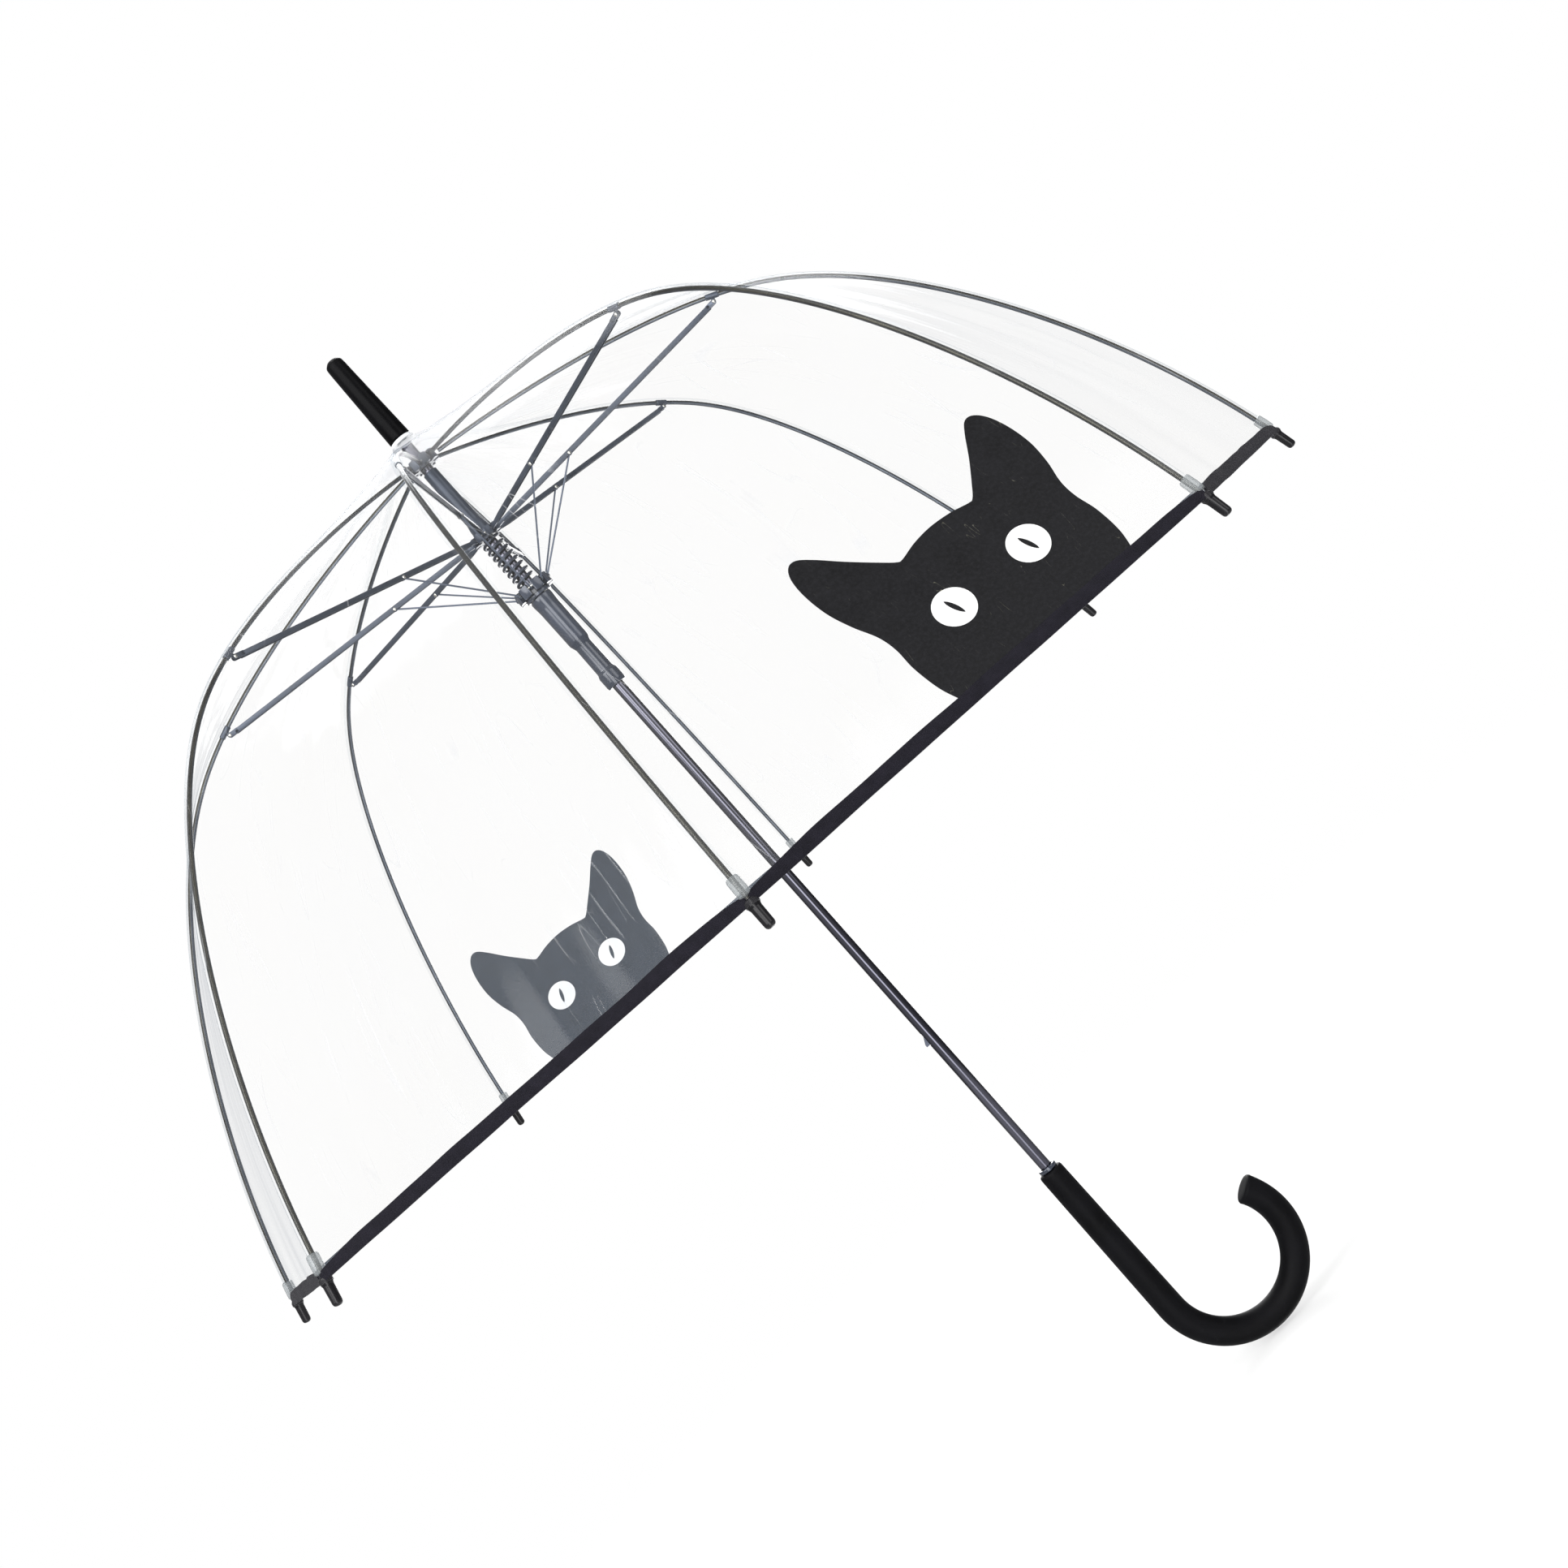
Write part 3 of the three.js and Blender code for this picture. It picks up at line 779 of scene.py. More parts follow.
def film_point(run, across, gore, lift=0.0):
    """A point of a gore (1 to 8). across runs from -1 at its first rib to 1 at the next one."""
    radius, height = profile_at(run)
    ahead, behind = profile_at(min(run + 2, RUN[-1])), profile_at(max(run - 2, 0))
    normal = outward(np.array([(ahead[0] - behind[0]) * COS_HALF, ahead[1] - behind[1]]))
    sag = 3.2 * math.sin(math.pi * min(run / RUN_HEM, 1.0)) * (1 - across**2)
    lift += wrinkle(run, across, gore) - sag
    x = radius * COS_HALF + normal[0] * lift
    z = height + normal[1] * lift
    return turned_to(gore_middle(gore))(Vector((x, across * radius * SIN_HALF, z)))


def film_sheet(name, runs, columns, locate, places):
    """A grid sheet. locate(run, column) gives its points, places(run, column) its map coordinates."""
    grid = list(itertools.product(runs, columns))
    part = [locate(*place) for place in grid], grid_faces(len(runs), len(columns))
    thing = sheet_piece(name, part, FILM)
    set_uv(thing, [places(*place) for place in grid])
    return thing


def gore_before(n):
    return (n - 2) % RIB_COUNT + 1


def petal_side(column, n):
    """Crown film round rib n is half of the gore before it, at columns -1 to 0, and half of its own."""
    return (1 + column, gore_before(n)) if column <= 0 else (column - 1, n)


def map_place(run, across, gore):
    """The map coordinates of a film point, set well apart for each gore."""
    radius, _ = profile_at(run)
    return (across * radius * SIN_HALF + gore * 700.0, run)


def petal(name, runs, columns, n):
    return film_sheet(
        f"{name}_{n}", runs, np.linspace(-1, 1, columns),
        lambda run, column: film_point(run, *petal_side(column, n)),
        lambda run, column: map_place(run, *petal_side(column, n)),
    )


def gathered(thing, body):
    """The thing rides its body, with a mesh of its own."""
    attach(thing, body)
    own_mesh(thing)


def gathered_on_gore(thing, n):
    gathered(thing, f"gore_{n}")


def film_gore(n):
    """The film in three sheets: the lower part of gore n, and the crown and collar round rib n."""
    skirt = film_sheet(
        f"film_skirt_{n}", np.linspace(RUN_FLEX, RUN_HEM, 72), np.linspace(-1, 1, 49),
        lambda run, across: film_point(run, across, n),
        lambda run, across: map_place(run, across, n),
    )
    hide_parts(f"canopy_gore_{n}")
    gathered_on_gore(skirt, n)
    crown = petal("film_crown", np.linspace(RUN_COLLAR, RUN_FLEX, 60), 49, n)
    gathered(crown, f"rib_upper_{n}")
    collar = petal("film_collar", np.linspace(0, RUN_COLLAR, 14), 25, n)
    inner, outer = film_point(0, -1, n), film_point(RUN_COLLAR, -1, n)
    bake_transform(collar)


for n in range(1, RIB_COUNT + 1):
    film_gore(n)


# -------- hem tape

def hem_tape(n):
    """The tape folded over the hem of gore n. Its inner side is painted paler, a painted reflection standing
    in for the film's veil over it.
    """
    steps, width_steps = 80, 5
    loop = 2 * (width_steps + 1)
    vertices, places = [], []
    for i in range(steps + 1):
        across = -0.992 + 1.984 * i / steps
        wave = 0.5 * noise.noise(Vector((across * 5, n * 3.7, 1.0)))
        width = HEM_WIDTH - 2.8 * abs(across) ** 9 + wave
        runs = [RUN_HEM + 1.0 - (width + 1.0) * k / width_steps for k in range(width_steps + 1)]
        for side, ordered in ((1, runs), (-1, runs[::-1])):
            for run in ordered:
                edge = min(abs(run - runs[0]), abs(run - runs[-1]))
                lift = side * (0.55 if edge > 0.8 else 0.3)
                vertices.append(film_point(run, across, n, lift))
                places.append(map_place(run, across, n))
    tape = piece(f"hem_tape_{n}", (vertices, swept_faces(steps + 1, loop)), TAPE, crease=60.0)
    tape.data.materials.append(TAPE_INNER_PAINTED_REFLECTION)
    inner_side = [int(width_steps < i % loop < loop - 1) for i in range(steps * loop)]
    tape.data.polygons.foreach_set("material_index", inner_side + [0, 0])
    set_uv(tape, places)
    gathered_on_gore(tape, n)


for n in range(1, RIB_COUNT + 1):
    hem_tape(n)


# -------- printed cats' heads

# One side of the head's outline, as (from its middle line, over the hem), from the hem to the forehead.
HEAD_SIDE = [
    (62, 3), (66, 16), (67, 32), (65.5, 45), (66.5, 56), (71, 69), (74, 83), (74, 98), (71.5, 110),
    (67, 116.5), (61.5, 117), (55, 111), (45, 99), (34, 87), (27.5, 80.5), (24, 79.8), (13, 82.4),
]
HEAD_WIDTH, HEAD_TOP = 74, 118
FOREHEAD = (0, 83.6)
EYE_PLACE = (27.0, 42.5)
EYE_RADII = (12.0, 11.0)
PUPIL_RADII = (1.5, 6.0)
PUPIL_LEAN = 0.3
FILL_SPACING = 4.0
FILL_SHIFT = (0.37, 0.21)


def head_outline():
    left = [(-x, y) for x, y in reversed(HEAD_SIDE)]
    return smooth_curve([np.array(p, float) for p in HEAD_SIDE + [FOREHEAD] + left], 7)


def eye_shape(side, radii, lean, count, sharp=1.0):
    """An ellipse about an eye's middle. Over 1, sharp draws its ends to points."""
    points = []
    for i in range(count):
        angle = 2 * math.pi * i / count
        x = radii[0] * math.copysign(abs(math.cos(angle)) ** sharp, math.cos(angle))
        y = radii[1] * math.sin(angle)
        points.append(np.array([
            side * EYE_PLACE[0] + x * math.cos(lean) - y * math.sin(lean),
            EYE_PLACE[1] + x * math.sin(lean) + y * math.cos(lean),
        ]))
    return points


def is_inside(point, polygon):
    """Whether a point lies in a polygon, by counting the sides beyond it."""
    found = False
    for a, b in zip(polygon, polygon[1:] + polygon[:1]):
        if (a[1] > point[1]) != (b[1] > point[1]):
            if point[0] < (b[0] - a[0]) * (point[1] - a[1]) / (b[1] - a[1]) + a[0]:
                found = not found
    return found


def flat_head():
    """The head as a flat triangle mesh: its points, the inked triangles and the white ones of the eyes."""
    outline = head_outline()
    eyes = [eye_shape(side, EYE_RADII, 0.0, 36) for side in (-1, 1)]
    pupils = [eye_shape(side, PUPIL_RADII, PUPIL_LEAN, 20, 1.4) for side in (-1, 1)]
    points, edges = [], []
    for loop in [outline] + eyes + pupils:
        base = len(points)
        points += [Vector((float(p[0]), float(p[1]))) for p in loop]
        edges += [(base + i, base + (i + 1) % len(loop)) for i in range(len(loop))]
    for x in np.arange(-HEAD_WIDTH, HEAD_WIDTH + 1, FILL_SPACING):
        for y in np.arange(FILL_SPACING, HEAD_TOP, FILL_SPACING):
            place = (float(x) + FILL_SHIFT[0], float(y) + FILL_SHIFT[1])
            if is_inside(place, outline):
                points.append(Vector(place))
    found = delaunay_2d_cdt(points, edges, [list(range(len(outline)))], 1, 1e-5)
    flat, triangles = found[0], found[2]
    ink, white = [], []
    for triangle in triangles:
        middle = sum((flat[i] for i in triangle), Vector((0, 0))) / len(triangle)
        in_eye = any(is_inside(middle, eye) for eye in eyes)
        in_pupil = any(is_inside(middle, pupil) for pupil in pupils)
        (white if in_eye and not in_pupil else ink).append(list(triangle))
    return flat, ink, white


def print_head(name, gore, offset):
    """A cat's head looking over the hem, printed on the outside of a gore."""
    flat, ink, white = flat_head()

    def on_film(p):
        run = RUN_HEM - p[1]
        radius, _ = profile_at(run)
        return film_point(run, (p[0] + offset) / (radius * SIN_HALF), gore, 0.15)

    for suffix, chosen, look in (("ink", ink, INK), ("eyes", white, EYE_INK)):
        used = sorted({i for face in chosen for i in face})
        index = {old: new for new, old in enumerate(used)}
        vertices = [on_film(flat[i]) for i in used]
        faces = [[index[i] for i in face] for face in chosen]
        a, b, c = (vertices[i] for i in faces[0])
        if (b - a).cross(c - a).dot(Vector((a.x, a.y, 0))) < 0:
            faces = [face[::-1] for face in faces]
        thing = sheet_piece(f"{name}_{suffix}", (vertices, faces), look)
        set_uv(thing, [(flat[i][0] + offset, flat[i][1]) for i in used])
        gathered_on_gore(thing, gore)


print_head("cat_front", 7, 45.5)
print_head("cat_back", 3, 46.5)


# -------- ribs

ROD_RADIUS = 1.5
ROD_END = 0.985
LUG_AT = 0.79
LOWER_LENGTH = 350.0  # about the lower curve's length
BEND_FROM = bezier(UPPER_CURVE, 0.82)
BEND_TO = bezier(LOWER_CURVE, 0.35)
# Across the welded seam, as (distance from the rib, height over the film).
WELD_STATIONS = [(3.4, 0.12), (2.2, 0.35), (0.9, 0.35), (0.0, 0.35), (-0.9, 0.35), (-2.2, 0.35), (-3.4, 0.12)]
# Along a rod from its tip, as (distance, radius).
CAP_STATIONS = [
    (-4.0, 0.6), (-3.85, 1.5), (-3.5, 2.2), (-2.9, 2.7), (-1.9, 2.95), (7.4, 3.1), (7.9, 3.2),
    (8.4, 3.4), (9.0, 3.6), (11.6, 3.6), (12.3, 3.3), (12.8, 2.4),
]
POCKET_STATIONS = [(12.9, 2.0), (13.3, 3.0), (14.0, 3.5), (18.0, 3.6), (22.6, 3.5), (23.4, 3.1), (23.8, 2.1)]
THREAD_TURNS, THREAD_STEPS, THREAD_PATH = 4, 64, 3.75


def in_plane(point):
    """A (radius, height) point as a point in space, in the rib plane."""
    return Vector((point[0], 0, point[1]))


def unit(vector):
    return vector / np.linalg.norm(vector)


def bends_with_rib(thing, n, azimuth):
    """Works out where the rib's bend starts and ends, and bakes the thing's placement into its mesh."""
    ends = [turned_to(azimuth)(in_plane(point)) * METRE for point in (BEND_FROM, BEND_TO)]
    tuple(ends[0])
    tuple(ends[1])
    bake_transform(thing)


def rib_rod(n, azimuth):
    """The sprung rod, with the eye that the notch's wire runs through."""
    line = []
    for t in np.linspace(0, 1 + ROD_END, 120)[1:]:
        line.append(in_plane(bezier(UPPER_CURVE, t) if t <= 1 else bezier(LOWER_CURVE, t - 1)))
    eye = torus(in_plane(NOTCH), (0, 1, 0), 1.5, 0.75, 20, 8)
    part = joined(tube(line, ROD_RADIUS, 12), eye)
    nodes = (f"rib_upper_{n}", f"rib_lower_{n}")
    bends_with_rib(piece(f"rib_rod_{n}", part, RIB, replaces=nodes, azimuth=azimuth), n, azimuth)


def film_weld(n, azimuth):
    """The clear welded seam that runs over a rib, on both gores."""
    runs = np.linspace(RUN_COLLAR, RUN_HEM - 6, 110)
    vertices = []
    for run in runs:
        half = profile_at(run)[0] * SIN_HALF
        for distance, lift in WELD_STATIONS:
            own = distance >= 0
            across = distance / half - 1 if own else 1 + distance / half
            vertices.append(film_point(run, across, n if own else gore_before(n), lift))
    part = vertices, grid_faces(len(runs), len(WELD_STATIONS))
    bends_with_rib(sheet_piece(f"film_weld_{n}", part, SEAM), n, azimuth)


def rib_lug(n, azimuth):
    """The lug that holds the stretcher: a clip folded round the rib, and its tab."""
    root = bezier(UPPER_CURVE, LUG_AT)
    along = unit(bezier_slope(UPPER_CURVE, LUG_AT))
    stations = [(-4.5, 1.7), (-4.1, 2.05), (4.1, 2.05), (4.5, 1.7)]
    clip = station_tube(stations, lambda d: in_plane(root + along * d), 16)
    reach, down = 1.35, -outward(along)
    tab = []
    for angle in np.linspace(0, math.pi, 9):
        tab.append(LUG + along * reach * math.cos(angle) + down * reach * math.sin(angle))
    tab += [root - along * reach, root + along * reach]
    part = joined(clip, plate(tab, 1.1))
    piece(f"rib_lug_{n}", part, SLATE, f"rib_upper_{n}", azimuth=azimuth, bevel=0.15)


def rib_cap(n, azimuth):
    """The end cap with its flared mouth, and the black thread that ties the hem to it."""
    end = bezier(LOWER_CURVE, 1.0)
    back = unit(bezier(LOWER_CURVE, 0.965) - end)
    over = outward(-back)
    body = station_tube(CAP_STATIONS, lambda d: in_plane(end + back * d), 24)
    thread = []
    for step in range(THREAD_STEPS + 1):
        turn = 2 * math.pi * THREAD_TURNS * step / THREAD_STEPS
        along = 9.2 + 2.2 * step / THREAD_STEPS
        place = in_plane(end + back * along + over * THREAD_PATH * math.cos(turn))
        thread.append(place + Vector((0, THREAD_PATH * math.sin(turn), 0)))
    part = joined(body, tube(thread, 0.3, 6))
    piece(f"rib_cap_{n}", part, CAP, f"rib_lower_{n}", [f"rib_tip_{n}"], azimuth, crease=70.0)


def rib_pocket(n, azimuth):
    """The clear pocket of the film that the rib's end sits in."""
    def place(d):
        return in_plane(beside(LOWER_CURVE, 1 - d / LOWER_LENGTH, 0.4))

    part = station_tube(POCKET_STATIONS, place, 20)
    piece(f"rib_pocket_{n}", part, POCKET, f"rib_lower_{n}", azimuth=azimuth)


for n, azimuth in enumerate(RIB_AZIMUTHS, 1):
    for make in (rib_rod, film_weld, rib_lug, rib_cap, rib_pocket):
        make(n, azimuth)


# -------- stretchers and struts

INWARDS = unit(HUB_PIVOT - LUG)
OVER = np.array([INWARDS[1], -INWARDS[0]])
STRETCHER_LENGTH = float(np.linalg.norm(HUB_PIVOT - LUG))
STRUT_AT = (float((STRUT_PIVOT - LUG) @ INWARDS), float((STRUT_PIVOT - LUG) @ OVER))
STRUT_RUN = unit(CROWN_PIVOT - STRUT_PIVOT)
CHANNEL = rounded([
    (-1.65, 1.3), (-1.65, -2.0), (-1.05, -2.0), (-1.05, 0.7),
    (1.05, 0.7), (1.05, -2.0), (1.65, -2.0), (1.65, 1.3),
], 0.3, 2, closed=True)
# Along the channel, as (distance from the lug, its width and its height in parts of the whole).
CHANNEL_STATIONS = [(d, 1.0, 1.0) for d in (4.2, 40.0, 100.0, 160.0, STRETCHER_LENGTH - 14)]
CHANNEL_STATIONS.append((STRETCHER_LENGTH - 5, 0.72, 0.8))


def along_stretcher(v):
    """A point given as (distance from the lug, sideways, height over the line) in the rib plane's frame."""
    return in_plane(LUG + INWARDS * v[0] + OVER * v[2]) + Vector((0, v[1], 0))


def eye_outline(centre, radius, neck_end, neck_half):
    """A flat eye on the stretcher's line, with a neck that reaches to neck_end."""
    points = []
    side = 1 if neck_end < centre else -1
    for step in range(13):
        angle = side * (math.pi / 2 - math.pi * step / 12)
        points.append((centre + side * radius * math.cos(angle), radius * math.sin(angle) * side))
    return points + [(neck_end, -neck_half), (neck_end, neck_half)]


RIVET_DOME = [(0.0, 0.55), (0.625, 0.495), (1.0625, 0.3025), (1.25, 0.0), (0.0, 0.0)]


def rivet_head(centre, side):
    def place(v):
        return Vector((centre[0] + v.x, side + math.copysign(v.z, side), centre[1] + v.y))

    return moved(lathe(RIVET_DOME, 16), place)


def stretcher(n, azimuth):
    """The U-channel with a forked eye on the lug, a flat eye on the hub's wire, and its rivets."""
    parts = [prism(CHANNEL, CHANNEL_STATIONS)]
    for side in (-1.35, 1.35):
        cheek = plate(eye_outline(0.0, 1.6, 6.5, 1.5), 0.6)
        parts.append(moved(cheek, lambda v, s=side: Vector((v.x, v.y + s, v.z))))
    parts.append(plate(eye_outline(STRETCHER_LENGTH, 1.7, STRETCHER_LENGTH - 7, 1.0), 1.7))
    whole = moved(joined(*parts), along_stretcher)
    body = f"stretcher_{n}"
    piece(f"stretcher_channel_{n}", whole, SLATE, body, [body], azimuth, bevel=0.12)
    heads = []
    for centre, half in (((0.0, 0.0), 1.65), (STRUT_AT, 1.7)):
        heads += [rivet_head(centre, half), rivet_head(centre, -half)]
    piece(f"rivets_{n}", moved(joined(*heads), along_stretcher), WIRE, body, azimuth=azimuth)


def strut(n, azimuth):
    """A straight wire with an eye bent at each end."""
    ends = [in_plane(STRUT_PIVOT + STRUT_RUN * 1.4), in_plane(CROWN_PIVOT - STRUT_RUN * 1.4)]
    eyes = [torus(in_plane(p), (0, 1, 0), 1.2, 0.5, 20, 8) for p in (STRUT_PIVOT, CROWN_PIVOT)]
    part = joined(tube(ends, 0.62, 10), *eyes)
    piece(f"strut_wire_{n}", part, SLATE, f"strut_{n}", [f"strut_{n}"], azimuth)


for n, azimuth in enumerate(RIB_AZIMUTHS, 1):
    stretcher(n, azimuth)
    strut(n, azimuth)


# -------- shaft line

# The bore of what sits or slides on the shaft, and the slots for the ribs, stretchers and struts.
BORE = 4.3
SLOT_WIDTH = 3.8
FERRULE_SOCKET = 40.0
HUB_NECK = 52.0


def closed_line(corners, radius, steps=3):
    """A closed profile with rounded corners, its first point repeated at its end."""
    line = rounded(corners, radius, steps, closed=True)
    return line + [line[0]]


def ring(inner, outer, span, radius=0.3, segments=48):
    low, high = span
    return lathe(closed_line([(inner, low), (outer, low), (outer, high), (inner, high)], radius), segments)


def ring_wire(pivot, wire_radius, shrink=0.0):
    return torus((0, 0, pivot[1]), (0, 0, 1), pivot[0] - shrink, wire_radius, 64, 8)


# The catch's nose stands out of a slot in the shaft, and locks the closed runner in its sleeve's window.
CATCH_HALF_WIDTH = 1.4
CATCH_SLOT = (-588.6, -578.9)
RUNNER_TRAVEL = JOINTS["runner_slide"]["range_m"][1] / METRE


def cut_catch_slot(thing, reach, travel):
    low, high = (height + travel for height in CATCH_SLOT)
    cut_box(thing, (-reach, -CATCH_HALF_WIDTH, low), (-1.0, CATCH_HALF_WIDTH, high))


shaft = ring(3.2, 4.0, heights("shaft"), segments=64)
shaft = piece("shaft_tube", shaft, SHAFT, "frame", ["shaft"])
cut_catch_slot(shaft, 5.0, 0.0)

low, socket_end = heights("ferrule")[0], heights("ferrule")[0] + FERRULE_SOCKET
ferrule_line = rounded([
    (0, socket_end), (BORE, socket_end), (BORE, low), (7.9, low), (6.45, -6.5), (6.2, -2.6), (3.6, 0), (0, 0),
], 1.0, 5)
piece("ferrule_body", lathe(ferrule_line, 64), BLACK, "frame", ["ferrule"], crease=50.0)

low, high = heights("top_washer")
washer = lathe(closed_line([(BORE, low), (9.2, low), (8.2, high), (BORE, high)], 0.7, 4), 48)
piece("washer_disc", washer, WASHER, "frame", ["top_washer"])

notch = slotted_ring(BORE, 11.5, *heights("top_notch"), 6.8, SLOT_WIDTH)
piece("notch_ring", notch, SLATE, "frame", ["top_notch"], bevel=0.25)
piece("notch_wire", ring_wire(NOTCH, 0.5), WIRE, "frame")

collar = ring(BORE, 6.5, heights("handle_collar"), 0.7)
piece("collar_ring", collar, SLEEVE, "frame", ["handle_collar"])

low, high = heights("stretcher_hub")
hub = slotted_ring(BORE, 11.0, low, high, 7.2, SLOT_WIDTH)
hub_neck = lathe(rounded([
    (BORE, high + 0.05), (6.6, high + 0.05), (6.0, high + 6),
    (5.3, high + 9), (5.1, high + HUB_NECK), (BORE, high + HUB_NECK),
], 0.6, 3, closed=True), 48)
piece("hub_ring", joined(hub, hub_neck), SLATE, "hub", ["stretcher_hub"], bevel=0.25)
piece("hub_wire", ring_wire(HUB_PIVOT, 0.55), WIRE, "hub")

low, crown_top = heights("runner_crown")
crown = slotted_ring(BORE, 13.5, low + 2.5, crown_top, 7.2, SLOT_WIDTH)
crown_foot = ring(BORE, 9.5, (low, low + 2.45), 0.6)
piece("crown_ring", joined(crown, crown_foot), SLEEVE, "runner", ["runner_crown"], bevel=0.3)
piece("crown_wire", ring_wire(CROWN_PIVOT, 0.5, shrink=0.2), WIRE, "runner")

low, high = heights("runner_sleeve")
sleeve = lathe(closed_line([
    (BORE, low), (6.7, low), (7.2, low + 2.5), (7.2, low + 10), (6.0, low + 12.5), (5.8, -247),
    (7.3, -243), (7.5, -214), (8.0, high - 3), (8.0, high), (BORE, high),
], 0.8, 4), 56)
sleeve = piece("sleeve_body", sleeve, SLEEVE, "runner", ["runner_sleeve"], crease=50.0)
cut_catch_slot(sleeve, 8.0, RUNNER_TRAVEL)


def spring_coil(turns=8, per_turn=30, path_radius=6.5, wire_radius=1.05):
    low, high = heights("main_spring")
    low, high = low + 0.6, high - 0.6
    line = []
    for i in range(turns * per_turn + 1):
        share = i / (turns * per_turn)
        line.append((*polar(path_radius, 2 * math.pi * turns * share), low + (high - low) * share))
    return tube(line, wire_radius, 8)


coil = piece("spring_coil", spring_coil(), SPRING, "runner", ["main_spring"])
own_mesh(coil)


# -------- handle

CROOK_START = -815.0
CROOK_BEND = 46.0
CROOK_TURN = math.radians(213)
GRIP_TOP_RADIUS, GRIP_RADIUS = 8.55, 9.4
FLARE_ANGLE = 0.22


def crook_place(angle):
    """The middle line of the crook, which bends towards +X."""
    return in_plane((CROOK_BEND * (1 - math.cos(angle)), CROOK_START - CROOK_BEND * math.sin(angle)))


def handle_stations():
    """(place, radius) along the handle, from its top to the flat end of the crook."""
    top = heights("handle")[1]
    stations = [((0, 0, top - d), r) for d, r in ((0.05, 7.2), (0.7, 8.2), (2.0, GRIP_TOP_RADIUS))]
    for height in np.linspace(top - 6, CROOK_START, 12):
        share = (top - height) / (top - CROOK_START)
        stations.append(((0, 0, height), GRIP_TOP_RADIUS + (GRIP_RADIUS - GRIP_TOP_RADIUS) * share))
    for angle in np.linspace(0, CROOK_TURN - 2.6 / CROOK_BEND, 64)[1:]:
        flare = max(0.0, (angle - CROOK_TURN + FLARE_ANGLE) / FLARE_ANGLE)
        stations.append((crook_place(angle), GRIP_RADIUS + 0.35 * flare**2))
    end = crook_place(CROOK_TURN)
    along = (end - crook_place(CROOK_TURN - 0.01)).normalized()
    for ahead, r in ((-2.0, 9.7), (-1.3, 9.5), (-0.7, 9.1), (-0.25, 8.4), (0.0, 7.2), (0.02, 3.5)):
        stations.append((end + along * ahead, r))
    return stations


handle = tube(*zip(*handle_stations()), 48)
piece("handle_crook", handle, GRIP, "frame", ["handle"], crease=60.0)


# -------- CAD node that stays

catch = frame["nodes"]["catch"]
catch.data.materials.clear()
catch.data.materials.append(SPRING)


# -------- studio

def floor_look():
    """White and matt, fading out to clear, and not seen at all from below."""
    look = Look("studio_floor")
    place = look.place()
    fade = look.fit(look.vector("LENGTH", place), 0.55, 1.3, kind="SMOOTHSTEP")
    cloud = look.noise(place, 3.0, 3.0)
    tint = look.mix(look.fit(cloud, 0.3, 0.7), (0.90, 0.90, 0.90), (0.93, 0.93, 0.93))
    matt = look.shader("Diffuse", {"Color": tint})
    clear = look.shader("Transparent")
    thin = look.larger(look.larger(fade, 0.55), look.surface("Backfacing"))
    return look.done(look.blend(thin, matt, clear))


floor_mesh = bpy.data.meshes.new("studio_floor")
rim = [(*polar(2.0, 2 * math.pi * i / 96), 0) for i in range(96)]
floor_mesh.from_pydata(rim, [], [list(range(96))])
floor_mesh.materials.append(floor_look())
floor = linked("studio_floor", floor_mesh)
floor.location = (0, 0, cad_low.z - 0.002)
floor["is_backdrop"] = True


# Glows of the room, as (direction, where its edge starts, strength).
GLOWS = [((-0.6, -0.75, 0.45), 0.92, 4.2), ((0.75, -0.6, 0.25), 0.94, 2.0), ((0.1, 0.9, 0.5), 0.92, 1.8)]


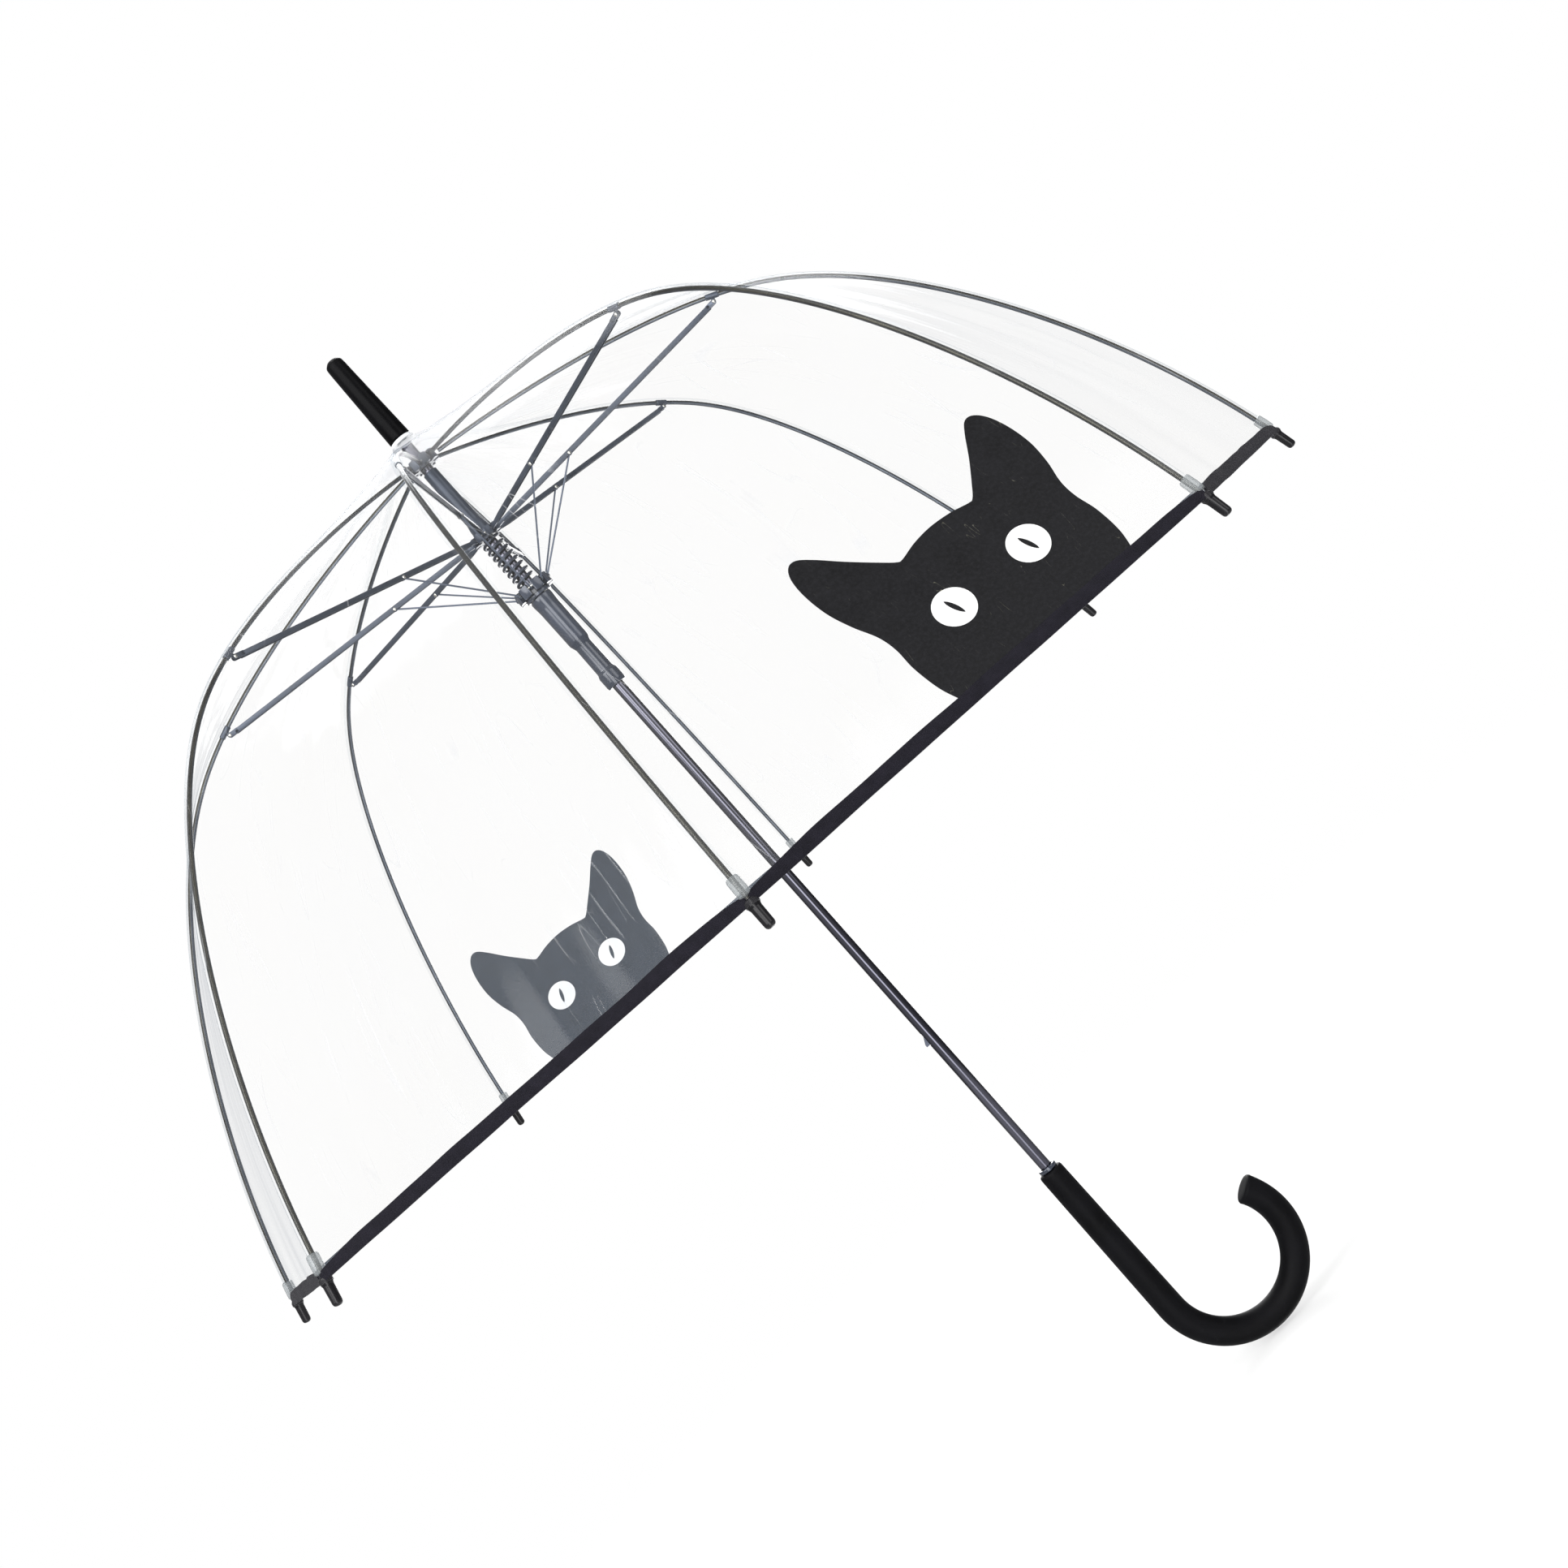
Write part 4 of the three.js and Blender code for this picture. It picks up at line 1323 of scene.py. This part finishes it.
def studio_world():
    """White behind the object, and a plain soft room, brighter above, for light and reflections."""
    world = bpy.data.worlds.new("studio")
    bpy.context.scene.world = world
    studio = Nodes(world)
    direction = studio.node("ShaderNodeTexCoord").outputs["Generated"]

    def glow(line, aim, start, end, low, high):
        return studio.fit(studio.vector("DOT_PRODUCT", line, aim), start, end, low, high, "SMOOTHSTEP")

    room = glow(direction, Vector((-0.35, -0.35, 0.87)).normalized(), -0.4, 0.9, 0.16, 0.62)
    for aim, edge, strength in GLOWS:
        room = studio.plus(room, glow(direction, Vector(aim).normalized(), edge, edge + 0.04, 0.0, strength))
    # Two tall strip lights, in front and behind, put a thin bright line along every upright tube.
    level = studio.vector("NORMALIZE", studio.vector("MULTIPLY", direction, (1.0, 1.0, 0.0)))
    for aim in ((-0.10, -0.995, 0.0), (0.17, 0.985, 0.0)):
        room = studio.plus(room, glow(level, aim, 0.968, 0.984, 0.0, 4.0))
    rays = studio.node("ShaderNodeLightPath").outputs
    shone, strength = rays["Is Glossy Ray"], rays["Is Camera Ray"]
    shone = studio.node("ShaderNodeMix", {0: shone, 2: 0.82, 3: room}, data_type="FLOAT").outputs[0]
    strength = studio.node("ShaderNodeMix", {0: strength, 2: shone, 3: 1.0}, data_type="FLOAT").outputs[0]
    white = studio.node("ShaderNodeBackground", {"Color": (1.0, 1.0, 1.0), "Strength": strength})
    studio.node("ShaderNodeOutputWorld", {"Surface": white.outputs[0]})


def soft_light(name, place, target, size, watts):
    light = bpy.data.lights.new(name, "AREA")
    light.shape = "DISK"
    light.size = size
    light.energy = watts
    thing = linked(name, light)
    thing.location = place
    thing.rotation_mode = "QUATERNION"
    thing.rotation_quaternion = (Vector(target) - Vector(place)).to_track_quat("-Z", "Y")
    thing.visible_glossy = False


studio_world()
middle = (cad_low + cad_high) / 2
soft_light("key_light", (-1.5, -1.7, 1.0), middle, 1.4, 42.0)
soft_light("fill_light", (1.9, -1.2, 0.1), middle, 1.2, 16.0)
soft_light("rim_light", (0.2, 1.9, 0.9), middle, 1.3, 20.0)

camera_data = bpy.data.cameras.new("camera")
camera_data.sensor_width = 36.0
camera_data.lens = 49.26
camera_data.clip_start = 0.01
camera_data.clip_end = 50.0
camera = linked("camera", camera_data)
camera.location = (-0.0426, -1.3823, -0.4364)
camera.rotation_mode = "QUATERNION"
camera.rotation_quaternion = Quaternion((0.64486, 0.67650, 0.23518, -0.26685))
bpy.context.scene.camera = camera
bpy.context.scene.view_settings.view_transform = "Standard"

low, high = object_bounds()
